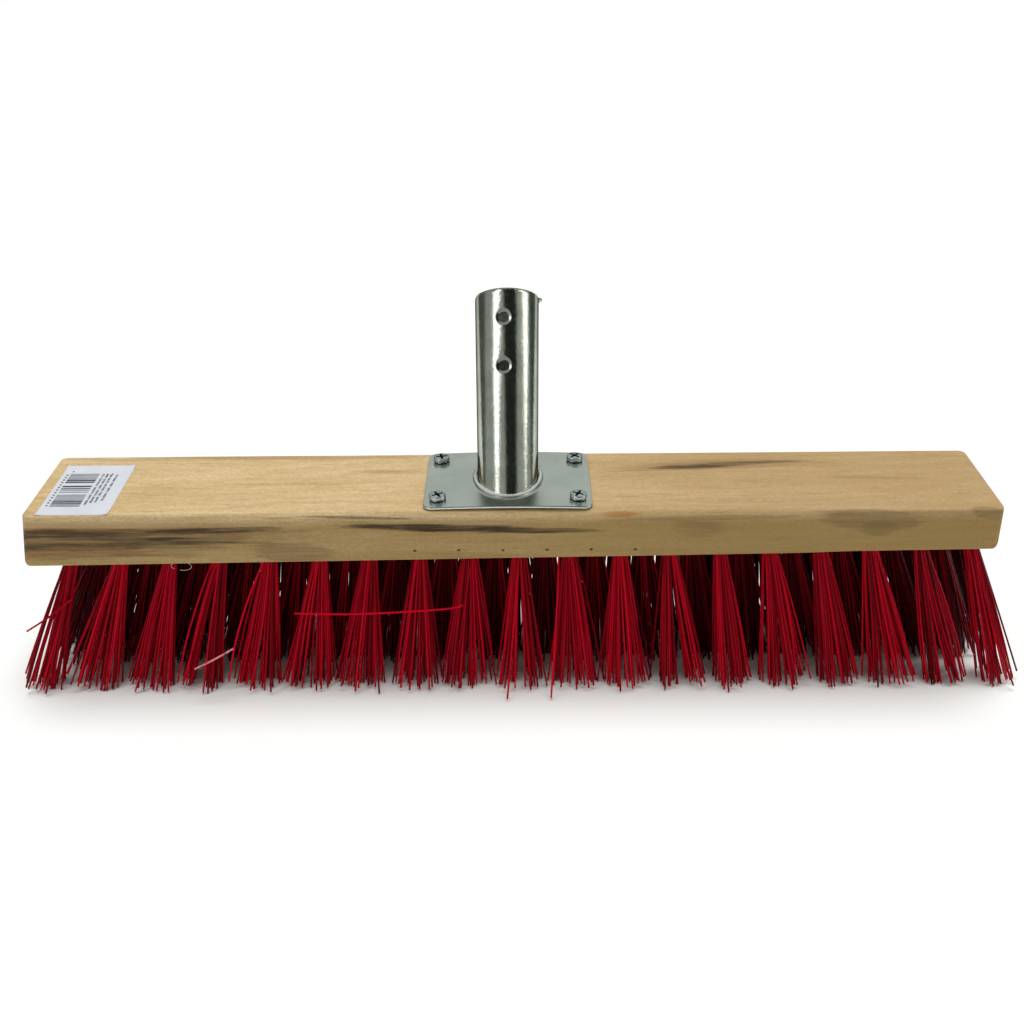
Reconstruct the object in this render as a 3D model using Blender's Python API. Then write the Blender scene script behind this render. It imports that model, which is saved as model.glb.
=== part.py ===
"""Push broom head: fans of stiff bristle in a softwood block, with a slanted steel handle socket.

Metres, +Z up. In the head's own frame x runs along the block, y away from the sweeping side towards
the handle, and z = 0 is the floor that the bristle tips stand on. The empty "broom_head" carries that
frame to the world, so that the whole head is centred over the world origin.
"""
import math

import bmesh
import bpy
from mathutils import Vector

# Block: one sawn softwood board, a little thinner at its right end.
BLOCK_LENGTH = 0.500
BLOCK_DEPTH = 0.067
BLOCK_TOP = 0.105
THICKNESS_LEFT = 0.0297
THICKNESS_RIGHT = 0.0240
LEFT_END_SPLAY = 0.0035
RIGHT_END_SPLAY = 0.0010
PLAN_CORNER_RADIUS = 0.004
END_ARRIS_RADIUS = 0.0035
LONG_ARRIS_RADIUS = 0.0010
TOP_ARRIS_RADIUS = 0.0006

# Bristles: four staggered rows of tufts, set in blind holes that fan outwards.
TUFT_PITCH = 0.0262
LONG_ROW_TUFTS = 19
SHORT_ROW_TUFTS = 18
ROW_Y = (-0.0245, -0.0082, 0.0082, 0.0245)
FIELD_CENTRE_X = 0.0041
FAN_ALONG = 0.11
FAN_ACROSS = 0.15
FRONT_ROW_THROW = 0.0045
HOLE_RADIUS = 0.0040
HOLE_DEPTH = 0.0140
ROOT_RADIUS = 0.0035
ROOT_GAP = 0.0004
TIP_HALF_ALONG = 0.0130
TIP_HALF_ACROSS = 0.0088
TUFTS_IN_A_BUNCH = 3
MINGLE_BOTTOM = 0.002
MINGLE_TOP = 0.012
MINGLE_HALF_DEPTH = 0.005

# Base plate: pressed sheet, bowed up a little between its screws.
PLATE_LENGTH = 0.0872
PLATE_DEPTH = 0.0610
PLATE_THICKNESS = 0.0015
PLATE_CORNER_RADIUS = 0.0045
PLATE_BOW = 0.0009
PLATE_CENTRE = (-0.0017, 0.0)
SCREW_SPREAD = (0.0363, 0.0214)
SCREW_HOLE_RADIUS = 0.0022

# Handle socket: a short tapered tube that leans back over the block.
SOCKET_LEAN = math.radians(40.6)
SOCKET_FOOT_Y = -0.0013
SOCKET_LENGTH = 0.1032
SOCKET_FOOT_RADIUS = 0.0160
SOCKET_MOUTH_RADIUS = 0.0175
SOCKET_WALL = 0.0015
NAIL_HOLE_HEIGHTS = (0.0602, 0.0869)
NAIL_HOLE_OFFSET = -0.0016
NAIL_HOLE_RADIUS = 0.0026
NAIL_DIMPLE_RADIUS = 0.0040
WELD_RADIUS = 0.0016
WELD_CLEARANCE = 1.1

# Screws: cross-recessed pan heads.
HEAD_RADIUS = 0.00435
HEAD_HEIGHT = 0.0026
SHANK_RADIUS = 0.0016
SHANK_LENGTH = 0.0125
SHANK_TIP_RADIUS = 0.0004
PILOT_RADIUS = 0.0020
PILOT_DEPTH = 0.0125
RECESS_WIDTH = 0.0011
RECESS_SPAN = 0.0052
RECESS_DEPTH = 0.0017
RECESS_FLOOR_SCALE = 0.6
RECESS_TOP_SCALE = 1.1

# Price label on the block's left end.
LABEL_LENGTH = 0.0370
LABEL_DEPTH = 0.0545
LABEL_THICKNESS = 0.0003
LABEL_CORNER_RADIUS = 0.0008
LABEL_CENTRE = (-0.2246, -0.0045)

GAP = 0.0003
OVERSHOOT = 0.004
TUFT_SIDES = 10
CORNER_STEPS = 4
TUBE_SIDES = 32
PLATE_STATIONS = 24
WELD_STEPS = 36
WELD_SIDES = 8
HEAD_SIDES = 16


def clear_scene():
    for item in list(bpy.data.objects):
        bpy.data.objects.remove(item, do_unlink=True)


def make_material(name, colour, roughness, metallic):
    material = bpy.data.materials.new(name)
    material.use_nodes = True
    shader = material.node_tree.nodes["Principled BSDF"]
    shader.inputs["Base Color"].default_value = (*colour, 1.0)
    shader.inputs["Roughness"].default_value = roughness
    shader.inputs["Metallic"].default_value = metallic
    return material


def loft(bm, rings, closed=False):
    """Skin a list of equal rings of points; the two ends are capped, or joined when closed."""
    loops = [[bm.verts.new(point) for point in ring] for ring in rings]
    pairs = list(zip(loops, loops[1:]))
    if closed:
        pairs.append((loops[-1], loops[0]))
    else:
        bm.faces.new(loops[0])
        bm.faces.new(loops[-1])
    for lower, upper in pairs:
        count = len(lower)
        for i in range(count):
            j = (i + 1) % count
            bm.faces.new((lower[i], lower[j], upper[j], upper[i]))


def ellipse(centre, half_x, half_y, sides):
    """A level ring of points about centre."""
    ring = []
    for i in range(sides):
        angle = 2.0 * math.pi * i / sides
        ring.append(Vector(centre) + Vector((half_x * math.cos(angle), half_y * math.sin(angle), 0.0)))
    return ring


def rounded_rectangle(half_x, half_y, radius, steps=CORNER_STEPS):
    """Points (x, y) of a rectangle with round corners, counter-clockwise."""
    outline = []
    corners = ((1, 1, 0.0), (-1, 1, 0.5), (-1, -1, 1.0), (1, -1, 1.5))
    for side_x, side_y, start in corners:
        for step in range(steps + 1):
            angle = math.pi * (start + 0.5 * step / steps)
            x = side_x * (half_x - radius) + radius * math.cos(angle)
            y = side_y * (half_y - radius) + radius * math.sin(angle)
            outline.append((x, y))
    return outline


def add_object(name, bm, material, parent, smooth_angle=None):
    bmesh.ops.recalc_face_normals(bm, faces=bm.faces)
    mesh = bpy.data.meshes.new(name)
    bm.to_mesh(mesh)
    bm.free()
    if smooth_angle is not None:
        mesh.shade_smooth()
        mesh.set_sharp_from_angle(angle=math.radians(smooth_angle))
    item = bpy.data.objects.new(name, mesh)
    bpy.context.scene.collection.objects.link(item)
    item.parent = parent
    if material is not None:
        mesh.materials.append(material)
    return item


def add_cutter(name, bm, parent):
    cutter = add_object(name, bm, None, parent)
    cutter.hide_render = True
    cutter.display_type = "WIRE"
    return cutter


def cut(item, cutter, operation="DIFFERENCE"):
    boolean = item.modifiers.new(cutter.name, "BOOLEAN")
    boolean.operation = operation
    boolean.solver = "EXACT"
    boolean.object = cutter


def underside(x):
    """Height of the block's lower face at x."""
    along = (x + BLOCK_LENGTH / 2) / BLOCK_LENGTH
    return BLOCK_TOP - THICKNESS_LEFT - (THICKNESS_RIGHT - THICKNESS_LEFT) * along


def row_places(row):
    """Root and tip centres (x, y) of the tufts of one row, at the underside and at the floor."""
    count = SHORT_ROW_TUFTS if row % 2 else LONG_ROW_TUFTS
    places = []
    for i in range(count):
        along = TUFT_PITCH * (i - (count - 1) / 2)
        root = (FIELD_CENTRE_X + along, ROW_Y[row])
        throw = FRONT_ROW_THROW if row == 0 else 0.0
        tip = (FIELD_CENTRE_X + along * (1.0 + FAN_ALONG), ROW_Y[row] * (1.0 + FAN_ACROSS) - throw)
        places.append((root, tip))
    return places


def point_on_axis(place, z):
    """Point of a tuft's axis at height z; the axis goes straight on into its hole."""
    (root_x, root_y), (tip_x, tip_y) = place
    share = (underside(root_x) - z) / underside(root_x)
    return Vector((root_x + (tip_x - root_x) * share, root_y + (tip_y - root_y) * share, z))


def arris_inset(radius, height):
    """How far a rounded edge draws in at a height above its flat face."""
    if height >= radius:
        return 0.0
    return radius - math.sqrt(radius * radius - (radius - height) ** 2)


def block_ring(height, from_top):
    """Outline of the block at a height from its lower face, or at a depth from its top face."""
    end_radius = TOP_ARRIS_RADIUS if from_top else END_ARRIS_RADIUS
    long_radius = TOP_ARRIS_RADIUS if from_top else LONG_ARRIS_RADIUS
    half_x = BLOCK_LENGTH / 2 - arris_inset(end_radius, height)
    half_y = BLOCK_DEPTH / 2 - arris_inset(long_radius, height)
    ring = []
    for x, y in rounded_rectangle(half_x, half_y, PLAN_CORNER_RADIUS):
        z = BLOCK_TOP - height if from_top else underside(x) + height
        splay = -LEFT_END_SPLAY if x < 0 else RIGHT_END_SPLAY
        depth_share = (BLOCK_TOP - z) / (BLOCK_TOP - underside(x))
        ring.append(Vector((x + splay * depth_share, y, z)))
    return ring


def make_block(material, parent):
    bm = bmesh.new()
    lower = [END_ARRIS_RADIUS * share for share in (0.0, 0.08, 0.30, 0.60, 1.0)]
    rings = [block_ring(height, False) for height in lower]
    rings += [block_ring(height, True) for height in (TOP_ARRIS_RADIUS, 0.3 * TOP_ARRIS_RADIUS, 0.0)]
    loft(bm, rings)
    block = add_object("wooden_block", bm, material, parent, smooth_angle=35)
    cut(block, tuft_hole_cutter(parent))
    cut(block, pilot_hole_cutter(parent))
    return block


def tuft_hole_cutter(parent):
    bm = bmesh.new()
    for row in range(len(ROW_Y)):
        for place in row_places(row):
            low = underside(place[0][0])
            heights = (low - OVERSHOOT, low + HOLE_DEPTH)
            rings = [ellipse(point_on_axis(place, z), HOLE_RADIUS, HOLE_RADIUS, TUFT_SIDES) for z in heights]
            loft(bm, rings)
    return add_cutter("tuft_hole_cutter", bm, parent)


def pilot_hole_cutter(parent):
    bm = bmesh.new()
    for x, y in screw_places():
        heights = (BLOCK_TOP - PILOT_DEPTH, BLOCK_TOP + OVERSHOOT)
        loft(bm, [ellipse((x, y, z), PILOT_RADIUS, PILOT_RADIUS, TUFT_SIDES) for z in heights])
    return add_cutter("pilot_hole_cutter", bm, parent)


def tuft_rings(place):
    """A tuft from the bottom of its hole to its trimmed tips, flaring below the wood."""
    low = underside(place[0][0])
    root_top = low + HOLE_DEPTH - ROOT_GAP
    flare_top = low - ROOT_GAP
    return [
        ellipse(point_on_axis(place, root_top), ROOT_RADIUS, ROOT_RADIUS, TUFT_SIDES),
        ellipse(point_on_axis(place, flare_top), ROOT_RADIUS, ROOT_RADIUS, TUFT_SIDES),
        ellipse(point_on_axis(place, 0.0), TIP_HALF_ALONG, TIP_HALF_ACROSS, TUFT_SIDES),
    ]


def make_tuft(name, place, material, parent):
    bm = bmesh.new()
    loft(bm, tuft_rings(place))
    return add_object(name, bm, material, parent, smooth_angle=50)


def make_bunch(name, places, material, parent):
    """Neighbouring inner tufts, joined where their fans mingle above the tips."""
    bunch = make_tuft(name, places[0], material, parent)
    for number, place in enumerate(places[1:], start=2):
        bm = bmesh.new()
        loft(bm, tuft_rings(place))
        bristles = add_cutter(f"{name}_fan_{number}", bm, parent)
        cut(bunch, bristles, "UNION")
        bm = bmesh.new()
        previous = places[number - 2]
        rings = []
        for z in (MINGLE_BOTTOM, MINGLE_TOP):
            start = point_on_axis(previous, z)
            end = point_on_axis(place, z)
            aside = Vector((0.0, MINGLE_HALF_DEPTH, 0.0))
            rings.append([start - aside, end - aside, end + aside, start + aside])
        loft(bm, rings)
        mingled = add_cutter(f"{name}_mingled_{number}", bm, parent)
        cut(bunch, mingled, "UNION")
    return bunch


def make_bristles(material, parent):
    for row, label in ((0, "front"), (3, "back")):
        for number, place in enumerate(row_places(row), start=1):
            make_tuft(f"tuft_{label}_{number:02d}", place, material, parent)
    for row, label in ((1, "inner_front"), (2, "inner_back")):
        places = row_places(row)
        bunches = len(places) // TUFTS_IN_A_BUNCH
        for number in range(bunches):
            first = number * TUFTS_IN_A_BUNCH
            last = len(places) if number == bunches - 1 else first + TUFTS_IN_A_BUNCH
            make_bunch(f"tufts_{label}_{number + 1}", places[first:last], material, parent)


def screw_places():
    """Screw centres (x, y)."""
    places = []
    for side_y in (-1, 1):
        for side_x in (-1, 1):
            x = PLATE_CENTRE[0] + side_x * SCREW_SPREAD[0]
            y = PLATE_CENTRE[1] + side_y * SCREW_SPREAD[1]
            places.append((x, y))
    return places


def bow_height(x):
    """Rise of the bowed plate above the block at x."""
    share = (x - PLATE_CENTRE[0]) / (PLATE_LENGTH / 2)
    return PLATE_BOW * max(0.0, 1.0 - share * share)


def make_plate(material, parent):
    bm = bmesh.new()
    half_y = PLATE_DEPTH / 2 + OVERSHOOT
    rings = []
    for i in range(PLATE_STATIONS + 1):
        x = PLATE_CENTRE[0] + (i / PLATE_STATIONS - 0.5) * (PLATE_LENGTH + OVERSHOOT)
        low = BLOCK_TOP + GAP + bow_height(x)
        high = low + PLATE_THICKNESS
        corners = ((-half_y, low), (half_y, low), (half_y, high), (-half_y, high))
        rings.append([Vector((x, PLATE_CENTRE[1] + y, z)) for y, z in corners])
    loft(bm, rings)
    plate = add_object("base_plate", bm, material, parent, smooth_angle=30)

    bm = bmesh.new()
    outline = rounded_rectangle(PLATE_LENGTH / 2, PLATE_DEPTH / 2, PLATE_CORNER_RADIUS)
    heights = (BLOCK_TOP - OVERSHOOT, BLOCK_TOP + OVERSHOOT)
    loft(bm, [[Vector((PLATE_CENTRE[0] + x, PLATE_CENTRE[1] + y, z)) for x, y in outline] for z in heights])
    cut(plate, add_cutter("plate_outline", bm, parent), "INTERSECT")

    bm = bmesh.new()
    loft(bm, [socket_section(z, SOCKET_FOOT_RADIUS + GAP) for z in heights])
    for x, y in screw_places():
        loft(bm, [ellipse((x, y, z), SCREW_HOLE_RADIUS, SCREW_HOLE_RADIUS, HEAD_SIDES) for z in heights])
    cut(plate, add_cutter("plate_holes", bm, parent))
    return plate


def socket_axis():
    return Vector((0.0, math.sin(SOCKET_LEAN), math.cos(SOCKET_LEAN)))


def socket_point(along, radius, angle):
    """Point about the socket's axis: along it from the plate, at a radius and an angle from +X."""
    foot = Vector((PLATE_CENTRE[0], SOCKET_FOOT_Y, BLOCK_TOP))
    backward = Vector((0.0, math.cos(SOCKET_LEAN), -math.sin(SOCKET_LEAN)))
    sideways = Vector((1.0, 0.0, 0.0))
    return foot + along * socket_axis() + radius * (math.cos(angle) * sideways + math.sin(angle) * backward)


def socket_section(z, radius):
    """Level section at height z of a straight tube of this radius on the socket's axis."""
    ring = []
    for i in range(TUBE_SIDES):
        angle = 2.0 * math.pi * i / TUBE_SIDES
        drop = radius * math.sin(angle) * math.tan(SOCKET_LEAN)
        ring.append(socket_point((z - BLOCK_TOP) / math.cos(SOCKET_LEAN) + drop, radius, angle))
    return ring


def make_socket(material, parent):
    foot_z = BLOCK_TOP + GAP
    outer_foot = socket_section(foot_z, SOCKET_FOOT_RADIUS)
    inner_foot = socket_section(foot_z, SOCKET_FOOT_RADIUS - SOCKET_WALL)
    angles = [2.0 * math.pi * i / TUBE_SIDES for i in range(TUBE_SIDES)]
    outer_mouth = [socket_point(SOCKET_LENGTH, SOCKET_MOUTH_RADIUS, a) for a in angles]
    inner_mouth = [socket_point(SOCKET_LENGTH, SOCKET_MOUTH_RADIUS - SOCKET_WALL, a) for a in angles]
    bm = bmesh.new()
    loft(bm, [outer_foot, outer_mouth, inner_mouth, inner_foot], closed=True)
    socket = add_object("handle_socket", bm, material, parent, smooth_angle=30)

    bm = bmesh.new()
    for height in NAIL_HOLE_HEIGHTS:
        loft(bm, nail_hole_rings(height))
    cut(socket, add_cutter("nail_hole_cutter", bm, parent))
    return socket


def nail_hole_rings(height):
    """Countersunk hole through the socket's lower side, facing the sweeping side."""
    share = height / SOCKET_LENGTH
    radius = SOCKET_FOOT_RADIUS + (SOCKET_MOUTH_RADIUS - SOCKET_FOOT_RADIUS) * share
    sideways = Vector((1.0, 0.0, 0.0))
    axis = socket_axis()
    rings = []
    for out, hole_radius in (
        (radius + GAP, NAIL_DIMPLE_RADIUS),
        (radius - SOCKET_WALL / 2, NAIL_HOLE_RADIUS),
        (radius - 2 * SOCKET_WALL, NAIL_HOLE_RADIUS),
    ):
        centre = socket_point(height, out, -math.pi / 2) + NAIL_HOLE_OFFSET * sideways
        ring = []
        for i in range(HEAD_SIDES):
            angle = 2.0 * math.pi * i / HEAD_SIDES
            ring.append(centre + hole_radius * (math.cos(angle) * sideways + math.sin(angle) * axis))
        rings.append(ring)
    return rings


def make_weld(material, parent):
    """Fillet weld laid round the socket's foot."""
    height = BLOCK_TOP + GAP + PLATE_BOW + PLATE_THICKNESS + GAP + WELD_RADIUS
    path = []
    for i in range(WELD_STEPS):
        angle = 2.0 * math.pi * i / WELD_STEPS
        radius = SOCKET_FOOT_RADIUS + GAP + WELD_CLEARANCE * WELD_RADIUS
        rise = (height - BLOCK_TOP) / math.cos(SOCKET_LEAN)
        drop = radius * math.sin(angle) * math.tan(SOCKET_LEAN)
        path.append(socket_point(rise + drop, radius, angle))
    rings = []
    for i, centre in enumerate(path):
        forward = (path[(i + 1) % WELD_STEPS] - path[i - 1]).normalized()
        outward = forward.cross(Vector((0.0, 0.0, 1.0)))
        ring = []
        for j in range(WELD_SIDES):
            turn = 2.0 * math.pi * (j + 0.5) / WELD_SIDES
            offset = WELD_RADIUS * (math.cos(turn) * outward + math.sin(turn) * Vector((0.0, 0.0, 1.0)))
            ring.append(centre + offset)
        rings.append(ring)
    bm = bmesh.new()
    loft(bm, rings, closed=True)
    return add_object("socket_weld", bm, material, parent, smooth_angle=60)


def make_screw(name, x, y, material, parent):
    seat = BLOCK_TOP + GAP + bow_height(x) + PLATE_THICKNESS + GAP
    shank_bottom = seat - SHANK_LENGTH
    profile = [
        (SHANK_TIP_RADIUS, shank_bottom),
        (SHANK_RADIUS, shank_bottom + 2 * SHANK_RADIUS),
        (SHANK_RADIUS, seat),
        (HEAD_RADIUS, seat),
        (HEAD_RADIUS, seat + 0.35 * HEAD_HEIGHT),
        (0.90 * HEAD_RADIUS, seat + 0.72 * HEAD_HEIGHT),
        (0.62 * HEAD_RADIUS, seat + 0.94 * HEAD_HEIGHT),
        (0.20 * HEAD_RADIUS, seat + HEAD_HEIGHT),
    ]
    bm = bmesh.new()
    loft(bm, [ellipse((x, y, z), radius, radius, HEAD_SIDES) for radius, z in profile])
    screw = add_object(name, bm, material, parent, smooth_angle=40)

    bm = bmesh.new()
    floor = seat + HEAD_HEIGHT - RECESS_DEPTH
    top = seat + HEAD_HEIGHT + OVERSHOOT / 4
    arm = RECESS_WIDTH / 2
    span = RECESS_SPAN / 2
    plus = [(span, -arm), (span, arm), (arm, arm), (arm, span), (-arm, span), (-arm, arm)]
    plus += [(-span, arm), (-span, -arm), (-arm, -arm), (-arm, -span), (arm, -span), (arm, -arm)]
    levels = ((RECESS_FLOOR_SCALE, floor), (RECESS_TOP_SCALE, top))
    loft(bm, [[Vector((x + u * scale, y + v * scale, z)) for u, v in plus] for scale, z in levels])
    cut(screw, add_cutter(f"{name}_recess", bm, parent))
    return screw


def make_label(material, parent):
    bm = bmesh.new()
    outline = rounded_rectangle(LABEL_LENGTH / 2, LABEL_DEPTH / 2, LABEL_CORNER_RADIUS, steps=2)
    low = BLOCK_TOP + GAP
    heights = (low, low + LABEL_THICKNESS)
    loft(bm, [[Vector((LABEL_CENTRE[0] + x, LABEL_CENTRE[1] + y, z)) for x, y in outline] for z in heights])
    return add_object("price_label", bm, material, parent)


def make_frame():
    """The head's frame, placed so that the whole head's box is centred over the world origin."""
    front = ROW_Y[0] * (1.0 + FAN_ACROSS) - FRONT_ROW_THROW - TIP_HALF_ACROSS * math.sin(math.pi * 2 / 5)
    mouth = socket_point(SOCKET_LENGTH, SOCKET_MOUTH_RADIUS, math.pi / 2)
    frame = bpy.data.objects.new("broom_head", None)
    bpy.context.scene.collection.objects.link(frame)
    frame.location = (-FIELD_CENTRE_X, -(front + mouth.y) / 2, 0.0)
    return frame


def main():
    clear_scene()
    pine = make_material("pine", (0.56, 0.42, 0.22), 0.65, 0.0)
    zinc = make_material("zinc_plate", (0.62, 0.64, 0.64), 0.35, 1.0)
    bright_zinc = make_material("bright_zinc", (0.70, 0.72, 0.72), 0.25, 1.0)
    plastic = make_material("red_bristle", (0.45, 0.005, 0.015), 0.35, 0.0)
    paper = make_material("white_paper", (0.85, 0.85, 0.86), 0.70, 0.0)

    frame = make_frame()
    make_block(pine, frame)
    make_bristles(plastic, frame)
    make_plate(zinc, frame)
    make_socket(zinc, frame)
    make_weld(bright_zinc, frame)
    for number, (x, y) in enumerate(screw_places(), start=1):
        make_screw(f"plate_screw_{number}", x, y, bright_zinc, frame)
    make_label(paper, frame)


main()
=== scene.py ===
"""Looks of the push broom head: bristles, wood, zinc-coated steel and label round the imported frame.

Metres, +Z up. Every position starts from the boxes and vertices of the CAD nodes.
"""
import math

import bmesh
import bpy
import numpy as np
from mathutils import Matrix, Vector


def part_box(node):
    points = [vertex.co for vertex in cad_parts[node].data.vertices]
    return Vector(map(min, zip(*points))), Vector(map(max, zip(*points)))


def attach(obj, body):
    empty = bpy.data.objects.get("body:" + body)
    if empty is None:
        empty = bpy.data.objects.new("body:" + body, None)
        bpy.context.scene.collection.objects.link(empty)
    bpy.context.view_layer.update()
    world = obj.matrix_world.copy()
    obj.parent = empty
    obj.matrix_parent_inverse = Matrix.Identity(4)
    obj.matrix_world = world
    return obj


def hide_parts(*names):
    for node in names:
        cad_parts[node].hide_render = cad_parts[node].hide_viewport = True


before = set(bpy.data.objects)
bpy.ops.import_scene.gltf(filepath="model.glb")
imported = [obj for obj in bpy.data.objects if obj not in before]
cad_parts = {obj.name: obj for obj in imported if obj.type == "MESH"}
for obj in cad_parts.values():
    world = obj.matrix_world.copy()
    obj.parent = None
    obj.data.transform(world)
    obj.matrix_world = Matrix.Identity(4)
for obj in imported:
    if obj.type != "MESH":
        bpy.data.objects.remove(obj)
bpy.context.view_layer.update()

MM = 0.001
SEED = 20
AXIS_X = Vector((1.0, 0.0, 0.0))
AXIS_Y = Vector((0.0, 1.0, 0.0))

# Camera, from the centre of the block's top face.
CAMERA_PLACE = Vector((3.6, -562.2, 303.0)) * MM
CAMERA_PITCH = math.radians(29.74)
CAMERA_YAW = math.radians(-0.34)
CAMERA_ROLL = math.radians(-0.62)
SENSOR_WIDTH = 36.0
FOCAL_LENGTH = 42.19

# Wooden block. Lengths in millimetres along the block are measured from its middle.
TOP_ARRIS = 0.6 * MM
PLAN_CORNER = 4.0 * MM
LEFT_FLARE = 1.7 * MM
RIGHT_REACH = 1.2 * MM
END_ARRIS = 3.5 * MM
HOLE_RADIUS = 4.0 * MM
HOLE_DEPTH = 14.0 * MM
# (along, reach back over the top, reach down the front, crease at the top) of the worn front arris
FRONT_ARRIS = (
    (-250, 0.9, 1.6, 0.00),
    (-236, 1.4, 4.0, 0.20),
    (-150, 2.0, 6.5, 0.20),
    (-95, 2.8, 8.0, 0.20),
    (0, 3.5, 8.5, 0.15),
    (40, 6.0, 7.0, 0.00),
    (150, 5.0, 6.0, 0.00),
    (181, 1.3, 2.0, 0.05),
    (250, 1.2, 1.9, 0.05),
)
PIT_FIRST = -50.0
PIT_PITCH = 22.8
PIT_COUNT = 6
PIT_DEPTH_BELOW_TOP = 21.6
PIT_PROFILE = ((-0.5, 1.0), (0.4, 0.72), (1.6, 0.35))

# Bristles.
FILAMENT_RADIUS = 0.50 * MM
OUTER_FILAMENTS = 44
INNER_FILAMENTS = 58
OUTER_SHAPE = (8, 7)
INNER_SHAPE = (5, 5)
ROOT_SPREAD = 3.3 * MM
SUNK = 6.0 * MM
FAN_ALONG = 13.0 * MM
FAN_ACROSS = 9.6 * MM
FRONT_THROW = (0.6, 5.0)
END_TUFT = 215.0 * MM

# Steel parts.
LEAN_SAMPLES = 192
NAIL_HOLE = 3.0 * MM
NAIL_DIMPLE = 4.8 * MM
NAIL_DIMPLE_DEPTH = 0.75 * MM
NAIL_DENT = 9.0 * MM
NAIL_DENT_DEPTH = 0.22 * MM
SOCKET_WALL = 1.5 * MM
COLLAR_HEIGHT = 1.0 * MM
COLLAR_GAP = 1.1 * MM
COLLAR_WALL = 1.2 * MM
COLLAR_FLARE = 1.0 * MM
NAIL_HEIGHTS = (60.2 * MM, 86.9 * MM)
NAIL_SIDE = -1.6 * MM
PLATE_THICKNESS = 1.5 * MM
PLATE_CORNER = 4.5 * MM
PLATE_EDGE = 0.55 * MM
PLATE_HOLE = 2.2 * MM
SHEET_SHARES = (0.015, 0.12, 0.28, 0.46, 0.64, 0.82, 0.94, 0.985)
SCREW_TURNS = (28, 64, 12, 47)
# (radius, height over the seat) of a screw's pan head, in millimetres
SCREW_HEAD_HEIGHT = 2.6
SCREW_HEAD = (
    (1.6, 0.05), (3.7, 0.0), (4.10, 0.12), (4.32, 0.45), (4.40, 0.95), (4.38, 1.60), (4.32, 2.00),
    (4.16, 2.28), (3.86, 2.47), (3.30, 2.55), (1.60, 2.585), (0.25, SCREW_HEAD_HEIGHT),
)
# (height over the head's top, half length, half width) of a recess arm; (height, radius) of its middle
RECESS_ARM = ((-1.9, 1.2, 0.44), (-0.5, 2.95, 0.62), (0.6, 3.4, 0.76))
RECESS_MIDDLE = ((-2.0, 0.6), (0.6, 1.5))

# Label: lengths in millimetres from its left front corner, except the heights.
PAPER_LIFT = 0.06 * MM
PAPER_THICKNESS = 0.09 * MM
INK_HEIGHTS = (0.165 * MM, 0.195 * MM)
BAR_GROUPS = ((8.9, 21.5, 0.62), (24.0, 31.5, 1.15), (34.5, 45.2, 0.62))
BAR_WIDTHS = (0.55, 0.40, 1.25, 0.40, 0.80, 0.55, 0.40, 1.60)
RULES = ((21.6, 10.4), (23.9, 12.6), (26.2, 13.2), (29.2, 15.0))
RULE_END = 44.5

# Lights and cards, seen from the socket: name, azimuth, elevation, distance, width, height,
# then watts and colour of a light, or the colour of a card.
SOFTBOXES = (
    ("left_box", -57, 49, 1.6, 0.46, 0.9, 2.6, (1.0, 1.0, 1.0)),
    ("right_box", 87, 33, 1.6, 0.40, 0.9, 2.1, (1.0, 1.0, 0.93)),
    ("back_panel", 180, 34, 3.2, 2.8, 2.0, 4.8, (0.95, 1.0, 0.96)),
)
CARDS = (
    ("dark_card", 20, 58, 1.3, 1.0, 1.2, (0.012, 0.016, 0.014)),
    ("left_flag", -114, 4, 1.7, 0.95, 1.1, (0.10, 0.11, 0.10)),
    ("right_flag", 116, 4, 1.7, 0.95, 1.1, (0.07, 0.08, 0.07)),
)
SUN_STRENGTH = 2.44
SUN_ANGLE = math.radians(36.0)
SUN_DIRECTION = (-0.06, -0.16, -1.0)
SKY_STRENGTH = 0.33
SKY_COLOUR = (0.92, 0.97, 0.91, 1.0)
FLOOR_SIZE = 18.0


def points(node):
    """All vertices of a CAD node, as an array."""
    return np.array([v.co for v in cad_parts[node].data.vertices], float)


def smoothstep(low, high, value):
    share = np.clip((value - low) / (high - low), 0.0, 1.0)
    return share * share * (3.0 - 2.0 * share)


def soften(mesh, sharp_angle):
    """Smooth shading, with edges over an angle in degrees kept sharp."""
    mesh.shade_smooth()
    mesh.set_sharp_from_angle(angle=math.radians(sharp_angle))


def mesh_from(name, verts, faces, sharp_angle=None):
    mesh = bpy.data.meshes.new(name)
    mesh.from_pydata([tuple(v) for v in verts], [], faces)
    mesh.validate()
    if sharp_angle is not None:
        soften(mesh, sharp_angle)
    return mesh


def add_piece(name, mesh, material, replaced=()):
    piece = set_up(name, mesh)
    mesh.materials.clear()
    mesh.materials.append(material)
    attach(piece, "root")
    if replaced:
        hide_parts(*replaced)


def set_up(name, data, place=(0.0, 0.0, 0.0), target=None):
    """New object in the scene; its -Z side looks at the target."""
    item = bpy.data.objects.new(name, data)
    bpy.context.scene.collection.objects.link(item)
    item.location = place
    if target is not None:
        item.rotation_euler = (Vector(target) - Vector(place)).to_track_quat("-Z", "Y").to_euler()
    return item


def grid_faces(rows, columns, wrap_rows=False, wrap_columns=True):
    """Quads between rows of vertices; a row holds one ring of the surface."""
    faces = []
    for i in range(rows if wrap_rows else rows - 1):
        for j in range(columns if wrap_columns else columns - 1):
            a = i * columns + j
            b = i * columns + (j + 1) % columns
            c = ((i + 1) % rows) * columns + (j + 1) % columns
            d = ((i + 1) % rows) * columns + j
            faces.append((a, b, c, d))
    return faces


def outward(mesh):
    bm = bmesh.new()
    bm.from_mesh(mesh)
    bmesh.ops.recalc_face_normals(bm, faces=bm.faces)
    bm.to_mesh(mesh)
    bm.free()


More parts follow.
